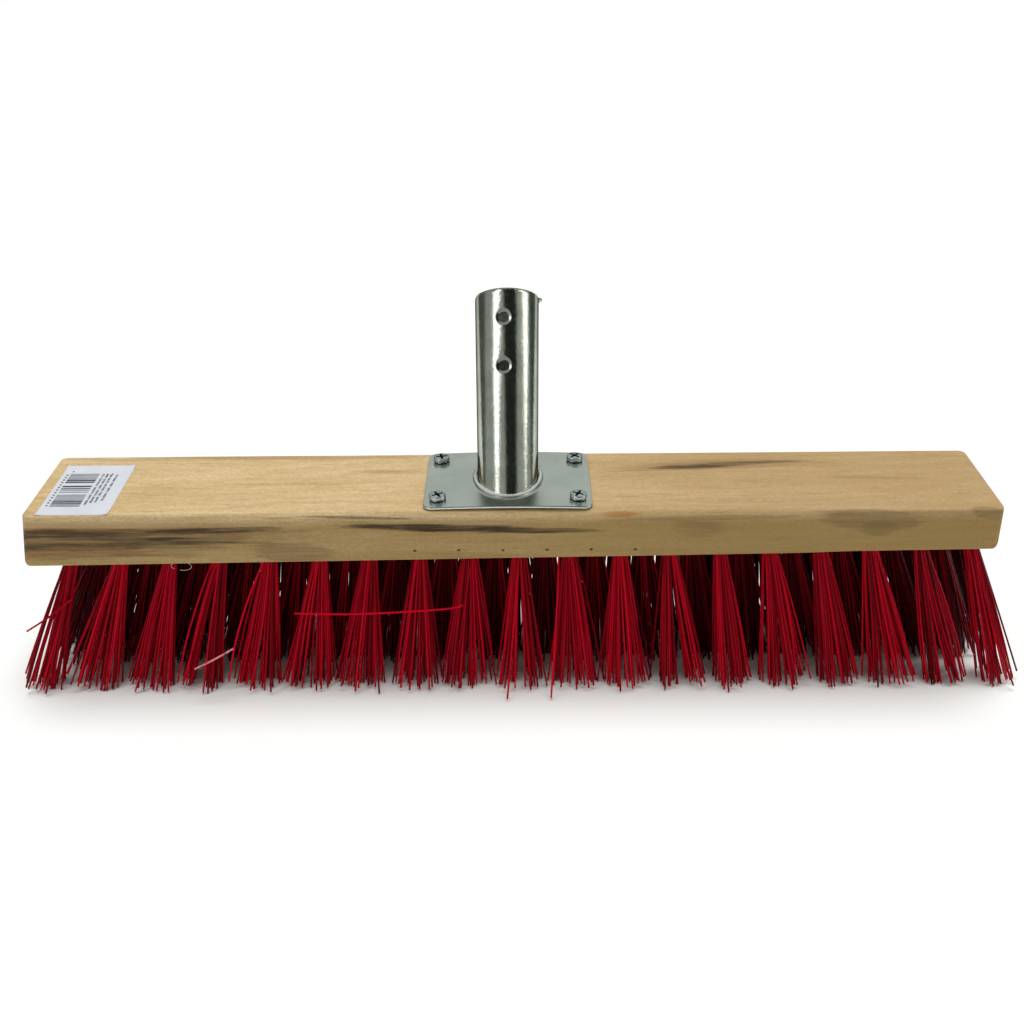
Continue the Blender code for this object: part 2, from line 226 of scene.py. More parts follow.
def cut_mesh(mesh, cutter_mesh, solver="EXACT"):
    """The first mesh with the second taken away, as a new mesh."""
    outward(mesh)
    outward(cutter_mesh)
    body = set_up("cut_body", mesh)
    cutter = set_up("cut_tool", cutter_mesh)
    boolean = body.modifiers.new("cut", "BOOLEAN")
    boolean.operation = "DIFFERENCE"
    boolean.solver = solver
    boolean.object = cutter
    bpy.context.view_layer.update()
    evaluated = body.evaluated_get(bpy.context.evaluated_depsgraph_get())
    result = bpy.data.meshes.new_from_object(evaluated)
    for item in (body, cutter):
        bpy.data.objects.remove(item)
    return result


def prism(rings):
    """Vertices and faces of a capped loft through equal rings."""
    sides = len(rings[0])
    verts = [p for ring in rings for p in ring]
    faces = grid_faces(len(rings), sides)
    faces.append(tuple(range(sides)))
    faces.append(tuple(reversed(range(len(verts) - sides, len(verts)))))
    return verts, faces


def turned(sides):
    """Angles of evenly spaced points round a circle."""
    return [2.0 * math.pi * i / sides for i in range(sides)]


def circle(centre, side, up, radius, sides):
    """Ring of points round a centre, in the plane of two directions."""
    return [centre + radius * (math.cos(turn) * side + math.sin(turn) * up) for turn in turned(sides)]


def level_circle(centre, z, radius, sides):
    return circle(Vector((centre.x, centre.y, z)), AXIS_X, AXIS_Y, radius, sides)


def merged(parts):
    """One vertex and face list from several (verts, faces) parts."""
    verts, faces = [], []
    for part_verts, part_faces in parts:
        start = len(verts)
        verts.extend(part_verts)
        faces.extend(tuple(start + i for i in face) for face in part_faces)
    return verts, faces


# ---------------------------------------------------------------- materials


class Nodes:
    """Short forms for building one material's node tree."""

    def __init__(self, name):
        self.material = bpy.data.materials.new(name)
        self.material.use_nodes = True
        self.tree = self.material.node_tree
        self.shader = self.tree.nodes["Principled BSDF"]
        self.coordinate = self.tree.nodes.new("ShaderNodeTexCoord").outputs["Object"]

    def link(self, source, target):
        if isinstance(source, (int, float)):
            target.default_value = source
        elif isinstance(source, tuple):
            target.default_value = source if len(source) != 3 or target.type == "VECTOR" else (*source, 1.0)
        else:
            self.tree.links.new(source, target)

    def add(self, kind, **inputs):
        """New node of a kind, with the named inputs set or linked."""
        node = self.tree.nodes.new(f"ShaderNode{kind}")
        for name, value in inputs.items():
            self.link(value, node.inputs[name.replace("_", " ")])
        return node

    def math(self, operation, *values):
        node = self.add("Math")
        node.operation = operation
        for value, socket in zip(values, node.inputs):
            self.link(value, socket)
        return node.outputs[0]

    def total(self, *terms):
        """Sum of the terms; a term is a value or a (value, weight) pair."""
        parts = [self.math("MULTIPLY", *term) if isinstance(term, tuple) else term for term in terms]
        result = parts[0]
        for part in parts[1:]:
            result = self.math("ADD", result, part)
        return result

    def noise(self, scale, detail=3.0, roughness=0.55, distortion=0.0):
        """Noise from 0 to 1; scale is a number or one number per axis, in waves per metre."""
        place = self.coordinate
        if isinstance(scale, tuple):
            place = self.add("Mapping", Vector=place, Scale=scale).outputs[0]
            scale = 1.0
        shape = {"Detail": detail, "Roughness": roughness, "Distortion": distortion}
        return self.add("TexNoise", Vector=place, Scale=scale, **shape).outputs["Fac"]

    def span(self, value, low, high, to_low=0.0, to_high=1.0):
        """Smooth step from to_low to to_high while the value goes from low to high."""
        reach = {"From_Min": low, "From_Max": high, "To_Min": to_low, "To_Max": to_high}
        node = self.add("MapRange", Value=value, **reach)
        node.interpolation_type = "SMOOTHSTEP"
        return node.outputs["Result"]

    def mix(self, share, a, b, blend="MIX"):
        node = self.add("Mix")
        node.data_type = "RGBA"
        node.blend_type = blend
        for value, socket in zip((share, a, b), (node.inputs[0], node.inputs[6], node.inputs[7])):
            self.link(value, socket)
        return node.outputs[2]

    def attribute(self, name):
        node = self.add("Attribute")
        node.attribute_name = name
        return node.outputs["Fac"]

    def bump(self, height, distance, strength=1.0, onto=None):
        node = self.add("Bump", Height=height, Distance=distance, Strength=strength)
        if onto is not None:
            self.link(onto, node.inputs["Normal"])
        return node.outputs["Normal"]

    def finish(self, colour, roughness, normal=None, metallic=0.0, **constants):
        self.link(colour, self.shader.inputs["Base Color"])
        self.link(roughness, self.shader.inputs["Roughness"])
        self.shader.inputs["Metallic"].default_value = metallic
        if normal is not None:
            self.link(normal, self.shader.inputs["Normal"])
        for name, value in constants.items():
            self.shader.inputs[name.replace("_", " ")].default_value = value
        return self.material


WOOD_LIGHT = (0.660, 0.492, 0.286)
WOOD_MID = (0.520, 0.360, 0.170)
WOOD_DARK = (0.300, 0.180, 0.070)
# Painted shade laid over the front face.
WOOD_FRONT_SHADE = (0.285, 0.165, 0.024)
GROWTH_LAYER = 5.2 * MM
WAVER = 34.0 * MM
RIPPLE = 4.5 * MM
STAIN_BROWN = (0.046, 0.027, 0.014)
STAIN_UMBER = (0.150, 0.086, 0.040)
STAIN_GREY = (0.165, 0.102, 0.055)
# Olive stains, and painted shade in a hollow of the front face.
STAIN_AND_SHADE_OLIVE = (0.185, 0.120, 0.046)
STAIN_RUST = (0.340, 0.120, 0.024)
# Painted highlight for the front arris.
PAINTED_EDGE_HIGHLIGHT = (0.620, 0.420, 0.220)

# Stains, with a few patches of painted shade and painted highlight: (along, down, half length, half width,
# drop per length, softness, strength, colour); millimetres.
# "down" runs down the front face from its top arris, and is negative over the top face.
STAINS_AND_PAINTED_LIGHT = (
    (-252, 14.6, 132, 9.6, -0.012, 0.55, 0.72, STAIN_UMBER),
    (-205, 8.0, 62, 1.0, -0.006, 0.80, 0.50, STAIN_RUST),
    (-225, 21.5, 60, 1.2, -0.010, 0.80, 0.40, STAIN_RUST),
    # Painted highlight: a pale band just under the rounded front arris at the left end.
    (-236, 5.0, 70, 1.5, 0.010, 0.80, 0.55, PAINTED_EDGE_HIGHLIGHT),
    (-262, 10.2, 112, 2.6, -0.010, 0.60, 0.80, STAIN_BROWN),
    (-256, 18.0, 84, 2.4, -0.010, 0.65, 0.72, STAIN_BROWN),
    (-206, 13.0, 44, 1.3, 0.012, 0.60, 0.60, STAIN_BROWN),
    (-172, 15.8, 30, 1.0, 0.018, 0.60, 0.75, STAIN_BROWN),
    (-152, 8.6, 34, 1.7, -0.020, 0.60, 0.80, STAIN_BROWN),
    (-178, 13.2, 9, 1.2, 0.0, 0.50, 0.70, STAIN_BROWN),
    (-200, 23.5, 40, 0.8, 0.015, 0.60, 0.45, STAIN_GREY),
    (-112, 22.5, 21, 5.5, 0.060, 0.35, 0.50, STAIN_GREY),
    (-46, 4.6, 58, 3.6, 0.034, 0.50, 0.16, STAIN_GREY),
    (-80, 1.2, 28, 0.9, 0.034, 0.60, 0.80, STAIN_BROWN),
    (-36, 8.2, 48, 2.3, 0.024, 0.60, 1.00, STAIN_BROWN),
    (8, 9.6, 34, 1.5, 0.020, 0.70, 0.95, STAIN_BROWN),
    (57, 0.6, 9, 2.2, 0.0, 0.90, 0.90, STAIN_RUST),
    (98, 3.4, 42, 1.6, -0.015, 0.80, 0.50, STAIN_AND_SHADE_OLIVE),
    (96, 9.0, 12, 4.6, 0.020, 0.80, 0.42, STAIN_GREY),
    # The next two olive patches are painted shade: a shaded hollow of the front face near the right end.
    (183, 4.6, 26, 6.6, 0.060, 0.30, 0.58, STAIN_AND_SHADE_OLIVE),
    (188, 10.0, 9, 4.6, 0.0, 0.35, 0.58, STAIN_AND_SHADE_OLIVE),
    (243, 1.6, 9, 4.5, 0.120, 0.35, 0.60, STAIN_AND_SHADE_OLIVE),
    (112, -52.0, 48, 5.0, -0.050, 0.85, 0.60, STAIN_UMBER),
    (104, -50.5, 28, 2.0, -0.070, 0.70, 0.80, STAIN_BROWN),
    (132, -54.5, 26, 1.4, -0.030, 0.60, 0.66, STAIN_BROWN),
    (84, -47.0, 30, 1.0, -0.040, 0.70, 0.50, STAIN_UMBER),
    (-150, -64.0, 86, 2.4, 0.0, 0.80, 0.42, STAIN_GREY),
    (-66, -46.0, 18, 2.2, 0.040, 0.90, 0.34, STAIN_GREY),
    (-122, -34.0, 30, 1.6, 0.020, 0.90, 0.22, STAIN_GREY),
    (196, -36.0, 30, 2.4, 0.040, 0.90, 0.25, STAIN_AND_SHADE_OLIVE),
)


def wood_material():
    """Planed softwood: streaky grain along X, fibres, speckle and sap stains; painted shade on the front
    face and in a hollow of it, and a painted highlight under the front arris.
    """
    n = Nodes("pine_sawn")
    x, y, z = n.add("SeparateXYZ", Vector=n.coordinate).outputs
    along = n.total((x, 1.0 / MM), -BLOCK["middle"] / MM)
    down = n.total((z, -1.0 / MM), (y, -1.0 / MM), (BLOCK["top"] + BLOCK["front"]) / MM)

    # Growth layers: bands round a pith far below and in front, wavering along the board.
    waver = n.noise((4.0, 16.0, 16.0), detail=2.0)
    ripple = n.noise((42.0, 75.0, 75.0), detail=2.0, distortion=0.6)
    layer = n.total((y, 0.62), (z, 0.78), (waver, WAVER), (ripple, RIPPLE), -0.5 * (WAVER + RIPPLE))
    band = n.span(n.math("SINE", n.math("MULTIPLY", layer, 2.0 * math.pi / GROWTH_LAYER)), -1.0, 1.0)
    broad = n.noise((5.0, 60.0, 60.0))
    cloud = n.noise((13.0, 46.0, 46.0), detail=4.0, roughness=0.62, distortion=0.5)
    streak = n.noise((9.0, 360.0, 360.0), detail=4.0, roughness=0.6)
    fibre = n.noise((70.0, 1500.0, 1500.0), roughness=0.65)
    speckle = n.noise((520.0, 900.0, 900.0), roughness=0.8)
    thread = n.noise((22.0, 620.0, 620.0), detail=4.0, roughness=0.7)

    tone = n.total((band, 0.08), (broad, 0.40), (streak, 0.24), (cloud, 0.60))
    colour = n.mix(n.span(tone, 0.40, 0.92), WOOD_MID, WOOD_LIGHT)
    flame = n.noise((6.0, 120.0, 120.0), roughness=0.6, distortion=0.3)
    patch = n.span(n.noise((7.0, 22.0, 22.0), detail=2.0), 0.42, 0.66)
    pore = n.noise((45.0, 1000.0, 1000.0), detail=2.0, roughness=0.5)
    flames = n.math("MULTIPLY", n.span(flame, 0.50, 0.72, 0.0, 0.50), patch)
    for mask in (flames, n.span(streak, 0.56, 0.80, 0.0, 0.24), n.span(pore, 0.60, 0.74, 0.0, 0.55)):
        colour = n.mix(mask, colour, WOOD_DARK)
    grain = n.total((fibre, 0.28), (speckle, 0.95), (thread, 0.26), 0.25)
    colour = n.mix(1.0, colour, grain, "MULTIPLY")

    # The right half of the board is a little browner; the front face is painted darker and yellower, as
    # painted shade.
    colour = n.mix(n.span(along, -90.0, 150.0, 0.05, 0.52), colour, WOOD_DARK)
    colour = n.mix(n.span(down, 1.0, 7.0, 0.0, 0.52), colour, WOOD_FRONT_SHADE)

    ragged = n.noise((28.0, 420.0, 420.0), detail=5.0, roughness=0.75)
    wander = n.total((n.noise((16.0, 40.0, 40.0), detail=2.0), 3.2), -1.6)
    blotch = n.span(n.noise((26.0, 620.0, 620.0), detail=5.0, roughness=0.75), 0.36, 0.60)
    blotch = n.total((blotch, 0.50), 0.50)
    for place, depth, half_length, half_width, drop, softness, strength, mark in STAINS_AND_PAINTED_LIGHT:
        offset = n.total(along, -place)
        across = n.total(down, wander, (offset, -drop), -depth)
        u, v = n.math("DIVIDE", offset, half_length), n.math("DIVIDE", across, half_width)
        distance = n.total((u, u), (v, v), (ragged, 2.8), -1.4)
        mask = n.span(distance, 1.0 - softness, 1.0 + softness, strength, 0.0)
        colour = n.mix(n.math("MULTIPLY", mask, blotch), colour, mark)

    roughness = n.span(streak, 0.3, 0.8, 0.62, 0.80)
    coarse = n.bump(n.total(streak, (broad, 0.6)), 0.25 * MM, 0.5)
    fine = n.bump(n.total(fibre, (speckle, 0.8)), 0.10 * MM, 0.55, coarse)
    return n.finish(colour, roughness, fine, Specular_IOR_Level=0.22)


def bristle_material():
    """Extruded red plastic; each filament has its own tone, near-black in the inner bunches as painted
    shade, and its cut end is pale.
    """
    n = Nodes("red_pvc")
    tone = n.attribute("tone")
    share = n.attribute("share")
    colour = n.mix(tone, (0.080, 0.0003, 0.0036), (0.640, 0.0016, 0.0180))
    scuff = n.noise((900.0, 900.0, 90.0), detail=2.0)
    colour = n.mix(n.span(scuff, 0.58, 0.80, 0.0, 0.12), colour, (0.72, 0.02, 0.04))
    colour = n.mix(n.span(share, 0.994, 0.998, 0.0, 0.25), colour, (0.70, 0.05, 0.07))
    roughness = n.span(n.noise((300.0, 300.0, 60.0)), 0.3, 0.7, 0.30, 0.45)
    line = n.noise((2600.0, 2600.0, 60.0), detail=1.0)
    return n.finish(colour, roughness, n.bump(line, 0.04 * MM, 0.35), Specular_IOR_Level=0.05)


def pale_highlight_material():
    """Red plastic painted pale pink: a painted highlight along a stray filament."""
    n = Nodes("red_pvc_painted_highlight")
    pale_noise = n.noise((500.0, 500.0, 160.0), detail=2.0)
    colour = n.mix(n.span(pale_noise, 0.35, 0.65), (0.640, 0.085, 0.120), (0.800, 0.300, 0.340))
    return n.finish(colour, 0.35, n.bump(pale_noise, 0.04 * MM, 0.4), Specular_IOR_Level=0.30)


def zinc_material(name, tint, roughness, spangle, relief, blemish=0.25, metallic=1.0):
    """Zinc coating: fine crystals break up the edges of reflections; it darkens at grazing angles."""
    n = Nodes(name)
    crystal = n.noise(spangle, detail=2.0, roughness=0.6)
    dark = tuple(0.84 * c for c in tint)
    colour = n.mix(n.span(n.noise(90.0), 0.35, 0.70), dark, tint)
    colour = n.mix(n.span(crystal, 0.58, 0.76, 0.0, 0.30), colour, (0.84, 0.86, 0.80))
    mark = n.noise((60.0, 60.0, 26.0), detail=4.0, roughness=0.65)
    colour = n.mix(n.span(mark, 0.60, 0.78, 0.0, blemish), colour, (0.36, 0.37, 0.30))
    drawn = n.noise((900.0, 6.0, 6.0), roughness=0.7)
    colour = n.mix(n.span(drawn, 0.50, 0.70, 0.0, 0.28), colour, (0.50, 0.53, 0.46))
    gloss = n.span(crystal, 0.30, 0.72, *roughness)
    normal = n.bump(crystal, relief, 0.9)
    return n.finish(colour, gloss, normal, metallic, Specular_Tint=(0.06, 0.07, 0.055, 1.0))


def plate_material():
    """Satin zinc sheet with faint rolling lines from front to back."""
    n = Nodes("zinc_plate_satin")
    lines = n.noise((420.0, 22.0, 420.0), roughness=0.6)
    cloud = n.noise(45.0)
    colour = n.mix(n.span(cloud, 0.30, 0.70), (0.575, 0.620, 0.580), (0.650, 0.690, 0.655))
    colour = n.mix(n.span(lines, 0.52, 0.76, 0.0, 0.10), colour, (0.76, 0.79, 0.75))
    warm = n.noise((38.0, 50.0, 38.0), detail=4.0)
    colour = n.mix(n.span(warm, 0.58, 0.76, 0.0, 0.35), colour, (0.50, 0.49, 0.41))
    roughness = n.span(lines, 0.30, 0.70, 0.21, 0.25)
    normal = n.bump(lines, 0.0012 * MM, 0.6)
    return n.finish(colour, roughness, normal, metallic=1.0)


def dark_steel_and_shade_material(name, tint):
    """Dark steel: painted shade in the screw recesses, and a darker material inside the socket."""
    n = Nodes(name)
    mottle = n.noise(500.0)
    light = tuple(1.8 * c for c in tint)
    colour = n.mix(n.span(mottle, 0.35, 0.70), tint, light)
    return n.finish(colour, 0.55, n.bump(mottle, 0.05 * MM, 0.5), metallic=0.6)


def paper_material():
    n = Nodes("label_paper_white")
    fleck = n.noise(700.0)
    cloud = n.noise(60.0, detail=2.0)
    colour = n.mix(n.span(cloud, 0.35, 0.7), (0.58, 0.59, 0.66), (0.63, 0.64, 0.69))
    return n.finish(colour, n.span(fleck, 0.3, 0.7, 0.42, 0.55), n.bump(fleck, 0.02 * MM, 0.4))


def ink_material():
    n = Nodes("label_ink")
    wear = n.noise(1400.0, detail=2.0)
    colour = n.mix(n.span(wear, 0.45, 0.75), (0.018, 0.028, 0.032), (0.085, 0.100, 0.110))
    return n.finish(colour, 0.5)


def shaving_material():
    n = Nodes("wood_shaving")
    tone = n.noise(600.0)
    return n.finish(n.mix(tone, (0.48, 0.36, 0.24), (0.66, 0.54, 0.40)), 0.7)


# ---------------------------------------------------------------- what the frame says


def read_block():
    """Edges and heights of the wooden block."""
    low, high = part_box("wooden_block")
    cloud = points("wooden_block")
    top = cloud[cloud[:, 2] > high.z - 0.01 * MM]
    left_end, right_end = top[:, 0].min() - TOP_ARRIS, top[:, 0].max() + TOP_ARRIS
    middle = (left_end + right_end) / 2
    lower = []
    for chosen in (cloud[cloud[:, 0] < middle - 0.2], cloud[cloud[:, 0] > middle + 0.2]):
        lower.append(chosen[chosen[:, 2].argmin()])
    return {
        "left": left_end, "right": right_end, "middle": middle,
        "splay_left": left_end - low.x, "splay_right": high.x - right_end,
        "front": low.y, "back": high.y, "top": high.z, "lower": lower,
    }


BLOCK = read_block()
MIDDLE_Y = (BLOCK["front"] + BLOCK["back"]) / 2
TOP_MIDDLE = Vector((BLOCK["middle"], MIDDLE_Y, BLOCK["top"]))


def underside(x):
    """Height of the block's lower face."""
    (x0, _, z0), (x1, _, z1) = BLOCK["lower"]
    return z0 + (z1 - z0) * (x - x0) / (x1 - x0)


def mid_range(values):
    return (values.min() + values.max()) / 2


def read_tuft(node):
    """Hole bottom and tip centre of a tuft that has a node of its own."""
    cloud = points(node)
    tips = cloud[cloud[:, 2] < 0.1 * MM]
    deep = cloud[cloud[:, 2] > cloud[:, 2].max() - 0.1 * MM]
    hole = Vector((mid_range(deep[:, 0]), mid_range(deep[:, 1]), deep[:, 2].max()))
    return hole, Vector((mid_range(tips[:, 0]), mid_range(tips[:, 1]), 0.0))


def read_tufts():
    """Every tuft as (node, hole bottom, tip centre, row), rows counted from the front."""
    nodes = sorted(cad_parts)
    found = []
    for row, label in ((0, "tuft_front_"), (3, "tuft_back_")):
        for node in (name for name in nodes if name.startswith(label)):
            found.append((node, *read_tuft(node), row))
    bunches = []
    for row, label, twin_row in ((1, "tufts_inner_front_", 3), (2, "tufts_inner_back_", 0)):
        for node in (name for name in nodes if name.startswith(label)):
            cloud = points(node)
            tips = cloud[cloud[:, 2] < 0.1 * MM]
            deep = cloud[cloud[:, 2] > underside(0.0) + HOLE_DEPTH / 2]
            for _, hole, tip, other in found:
                if other == twin_row and tips[:, 0].min() < tip.x < tips[:, 0].max():
                    own_hole = Vector((hole.x, mid_range(deep[:, 1]), hole.z))
                    own_tip = Vector((tip.x, mid_range(tips[:, 1]), 0.0))
                    bunches.append((node, own_hole, own_tip, row))
    return found + bunches


TUFTS = read_tufts()


# ---------------------------------------------------------------- wooden block


def arris_at(along):
    """Reach back, reach down and crease of the front arris, in metres and as a share."""
    table = np.array(FRONT_ARRIS, float)
    back, lower, crease = (np.interp(along, table[:, 0], table[:, i]) for i in (1, 2, 3))
    return back * MM, lower * MM, crease


def end_inset(radius, distance):
    """How far a corner of this radius draws in, at a distance from the end face."""
    if distance >= radius:
        return 0.0
    return radius - math.sqrt(radius * radius - (radius - distance) ** 2)


def curve_points(start, corner, end, steps):
    """Quadratic curve from start to end that leans towards corner, without its last point."""
    result = []
    for i in range(steps):
        t = i / steps
        result.append(start * (1 - t) ** 2 + corner * 2 * t * (1 - t) + end * t * t)
    return result


def straight_points(start, end, steps):
    return [start + (end - start) * (i / steps) for i in range(steps)]


def block_section(distance, x):
    """Outline (y, z) of the block at x, from the top's back edge over the front and round."""
    inset = end_inset(PLAN_CORNER, distance)
    front, back = BLOCK["front"] + inset, BLOCK["back"] - inset
    top = BLOCK["top"] - end_inset(TOP_ARRIS, distance)
    bottom = underside(x) + end_inset(END_ARRIS, distance)
    along = (x - BLOCK["middle"]) / MM
    reach_back, reach_down, crease = arris_at(along)
    low_round = (1.0 + 1.3 * float(smoothstep(148.0, 178.0, along))) * MM
    small = 0.8 * MM

    def p(y, z):
        return np.array((y, z))

    outline = curve_points(p(back, top - small), p(back, top), p(back - small, top), 4)
    outline += straight_points(p(back - small, top), p(front + reach_back, top), 26)
    corner = p(front + 0.10 * reach_back, top - crease * reach_down)
    outline += curve_points(p(front + reach_back, top), corner, p(front, top - reach_down), 12)
    outline += straight_points(p(front, top - reach_down), p(front, bottom + low_round), 10)
    outline += curve_points(p(front, bottom + low_round), p(front, bottom), p(front + low_round, bottom), 5)
    outline += straight_points(p(front + low_round, bottom), p(back - small, bottom), 14)
    outline += curve_points(p(back - small, bottom), p(back, bottom), p(back, bottom + small), 4)
    outline += straight_points(p(back, bottom + small), p(back, top - small), 10)
    return outline


def block_surface():
    """Closed surface of the block before its holes are drilled."""
    near_end = (0.0, 0.04, 0.15, 0.35, 0.7, 1.2, 1.8, 2.4, 3.0, 3.5, 4.0)
    length = (BLOCK["right"] + RIGHT_REACH - BLOCK["left"]) / MM
    inner = np.linspace(near_end[-1], length - near_end[-1], 190)
    stations = [*near_end[:-1], *inner, *(length - d for d in reversed(near_end[:-1]))]
    verts = []
    sway = np.random.default_rng(SEED)
    phases = sway.uniform(0.0, 2.0 * math.pi, 6)
    for station in stations:
        distance = min(station, length - station) * MM
        x = BLOCK["left"] + station * MM
        side = x < BLOCK["middle"]
        splay = -BLOCK["splay_left"] - LEFT_FLARE if side else BLOCK["splay_right"]
        for y, z in block_section(distance, x):
            depth = (BLOCK["top"] - z) / (BLOCK["top"] - underside(x))
            near = 1.0 - min(distance / (40.0 * MM), 1.0)
            swell = 0.12 * MM * math.sin(station / 31.0 + phases[0] + 30.0 * y)
            swell += 0.06 * MM * math.sin(station / 9.0 + phases[1] + 120.0 * z)
            swell *= 1.0 - near
            facing = -1.0 if y < MIDDLE_Y else 1.0
            edge = smoothstep(0.75, 1.0, abs(y - MIDDLE_Y) / (BLOCK["back"] - MIDDLE_Y))
            verts.append((x + splay * depth * near, y - 0.5 * facing * swell * edge, z))
    sides = len(verts) // len(stations)
    return prism([verts[i:i + sides] for i in range(0, len(verts), sides)])


def tuft_axis(hole, tip, z):
    """Point at height z of the straight line from a tuft's hole bottom to its tips."""
    share = (hole.z - z) / (hole.z - tip.z)
    return hole + (tip - hole) * share


def hole_tools():
    """Drill shapes of the tuft holes, and of the row of pits low on the front face."""
    parts = []
    for _, hole, tip, _ in TUFTS:
        heights = (underside(hole.x) - 3.0 * MM, hole.z + 0.4 * MM)
        parts.append(prism([level_circle(tuft_axis(hole, tip, z), z, HOLE_RADIUS, 16) for z in heights]))
    rng = np.random.default_rng(SEED + 1)
    for i in range(PIT_COUNT):
        x = BLOCK["middle"] + (PIT_FIRST + PIT_PITCH * i) * MM
        z = BLOCK["top"] - (PIT_DEPTH_BELOW_TOP + rng.uniform(-0.35, 0.35)) * MM
        rings = []
        for depth, radius in PIT_PROFILE:
            ring = []
            for turn in turned(9):
                wide = radius * (1.25 + rng.uniform(-0.15, 0.15)) * MM
                tall = radius * 0.85 * MM
                y = BLOCK["front"] + depth * MM
                ring.append(Vector((x + wide * math.cos(turn), y, z + tall * math.sin(turn))))
            rings.append(ring)
        parts.append(prism(rings))
    return merged(parts)


def make_block(material):
    body = mesh_from("block_body", *block_surface())
    tools = mesh_from("block_tools", *hole_tools())
    mesh = cut_mesh(body, tools, "MANIFOLD")
    soften(mesh, 32)
    add_piece("wooden_block_sawn", mesh, material, ["wooden_block"])


# ---------------------------------------------------------------- bristles


def filament_paths(hole, tip, count, segments, rng, row):
    """Centre lines of one tuft's filaments, as an array (filament, point, xyz)."""
    low = underside(hole.x)
    mouth = np.array(tuft_axis(hole, tip, low))
    lean = np.array(tip) - mouth

    order = np.arange(count) + 0.5
    radius = np.sqrt(order / count)
    angle = order * math.pi * (3.0 - math.sqrt(5.0)) + rng.uniform(0.0, 2.0 * math.pi)
    u, v = radius * np.cos(angle), radius * np.sin(angle)
    gap = rng.uniform(0.0, 0.24) if row in (0, 3) else 0.0
    at_end = abs(hole.x - BLOCK["middle"]) > END_TUFT
    gap = 0.0 if at_end else gap
    bias = rng.uniform(-0.10, 0.10)
    fan_u = np.sign(u) * (gap + (1.0 - gap) * np.abs(u)) + bias + rng.normal(0.0, 0.10, count)
    fan_v = v * 0.95 + rng.normal(0.0, 0.12, count)
    width = rng.uniform(0.82, 1.16) if row in (0, 3) else 1.12
    width = min(width, 0.84) if at_end else width
    stray = rng.random(count) < 0.06
    fan_u = np.where(stray, fan_u * rng.uniform(-1.2, 1.5, count), fan_u)
    fan_u = np.clip(fan_u, -1.12, 1.12)

    root = mouth + np.stack([u * ROOT_SPREAD, v * ROOT_SPREAD, np.zeros(count)], 1)
    shift = np.stack([fan_u * FAN_ALONG * width, fan_v * FAN_ACROSS, np.zeros(count)], 1)
    if row == 0:
        shift[:, 1] -= rng.uniform(*FRONT_THROW, count) * MM
    flat = lean[:2] + shift[:, :2]
    full = math.sqrt(low * low + lean[0] ** 2 + lean[1] ** 2) + rng.normal(0.3, 0.7, count) * MM
    reach = np.sqrt(np.maximum(full ** 2 - (flat ** 2).sum(1), 0.0))
    end_z = np.maximum(low - reach, FILAMENT_RADIUS * 0.3 + rng.uniform(0.0, 0.9, count) * MM)
    end = np.stack([mouth[0] + flat[:, 0], mouth[1] + flat[:, 1], end_z], 1)

    bend = rng.normal(0.02, 0.06, count)
    side = rng.normal(0.0, 0.38, (count, 2)) * MM
    t = np.linspace(0.0, 1.0, segments)[None, :, None]
    line = root[:, None, :] + (end - root)[:, None, :] * t
    bow = 4.0 * t * (1.0 - t)
    line[:, :, 0:2] += (end - root)[:, None, 0:2] * bend[:, None, None] * bow * 0.5
    line[:, :, 0:2] += side[:, None, :] * bow
    buried = root + (np.array(tuft_axis(hole, tip, low + SUNK)) - mouth)
    return np.concatenate([buried[:, None, :], line], 1)


def tube_arrays(paths, sides, radii):
    """Vertices and faces of round filaments along their centre lines."""
    count, length, _ = paths.shape
    tangent = np.gradient(paths, axis=1)
    tangent /= np.linalg.norm(tangent, axis=2, keepdims=True)
    side_a = np.cross(tangent, np.array(AXIS_Y))
    weak = np.linalg.norm(side_a, axis=2, keepdims=True) < 0.2
    side_a = np.where(weak, np.cross(tangent, np.array(AXIS_X)), side_a)
    side_a /= np.linalg.norm(side_a, axis=2, keepdims=True)
    side_b = np.cross(tangent, side_a)
    turn = 2.0 * math.pi * np.arange(sides) / sides
    ring = (
        np.cos(turn)[None, None, :, None] * side_a[:, :, None, :]
        + np.sin(turn)[None, None, :, None] * side_b[:, :, None, :]
    )
    verts = paths[:, :, None, :] + ring * radii[:, None, None, None]
    verts = verts.reshape(-1, 3)
    quad = np.array(grid_faces(length, sides))
    per = length * sides
    faces = []
    for i in range(count):
        faces.extend((quad + i * per).tolist())
        faces.append(list(range(i * per + sides - 1, i * per - 1, -1)))
        faces.append(list(range((i + 1) * per - sides, (i + 1) * per)))
    return verts, faces


def bristle_mesh(name, paths, sides, rng, mean_tone=0.56):
    """Filament mesh with its tone, its share of length, and one UV column per filament."""
    count, length, _ = paths.shape
    radii = FILAMENT_RADIUS * rng.uniform(0.92, 1.08, count)
    verts, faces = tube_arrays(paths, sides, radii)
    mesh = bpy.data.meshes.new(name)
    mesh.from_pydata(verts.tolist(), [], faces)
    tone = np.clip(rng.normal(mean_tone, 0.27, count), 0.0, 1.0)
    share = np.linspace(0.0, 1.0, length)
    tone_all = np.repeat(tone, length * sides)
    share_all = np.tile(np.repeat(share, sides), count)
    for label, values in (("tone", tone_all), ("share", share_all)):
        layer = mesh.attributes.new(label, "FLOAT", "POINT")
        layer.data.foreach_set("value", values.astype(np.float32))
    lay_out_columns(mesh, count, length, sides)
    mesh.shade_smooth()
    caps = np.zeros(len(mesh.polygons), bool)
    block = length * sides - sides + 2
    for offset in (2, 1):
        caps[np.arange(1, count + 1) * block - offset] = True
    mesh.polygons.foreach_set("use_smooth", ~caps)
    return mesh


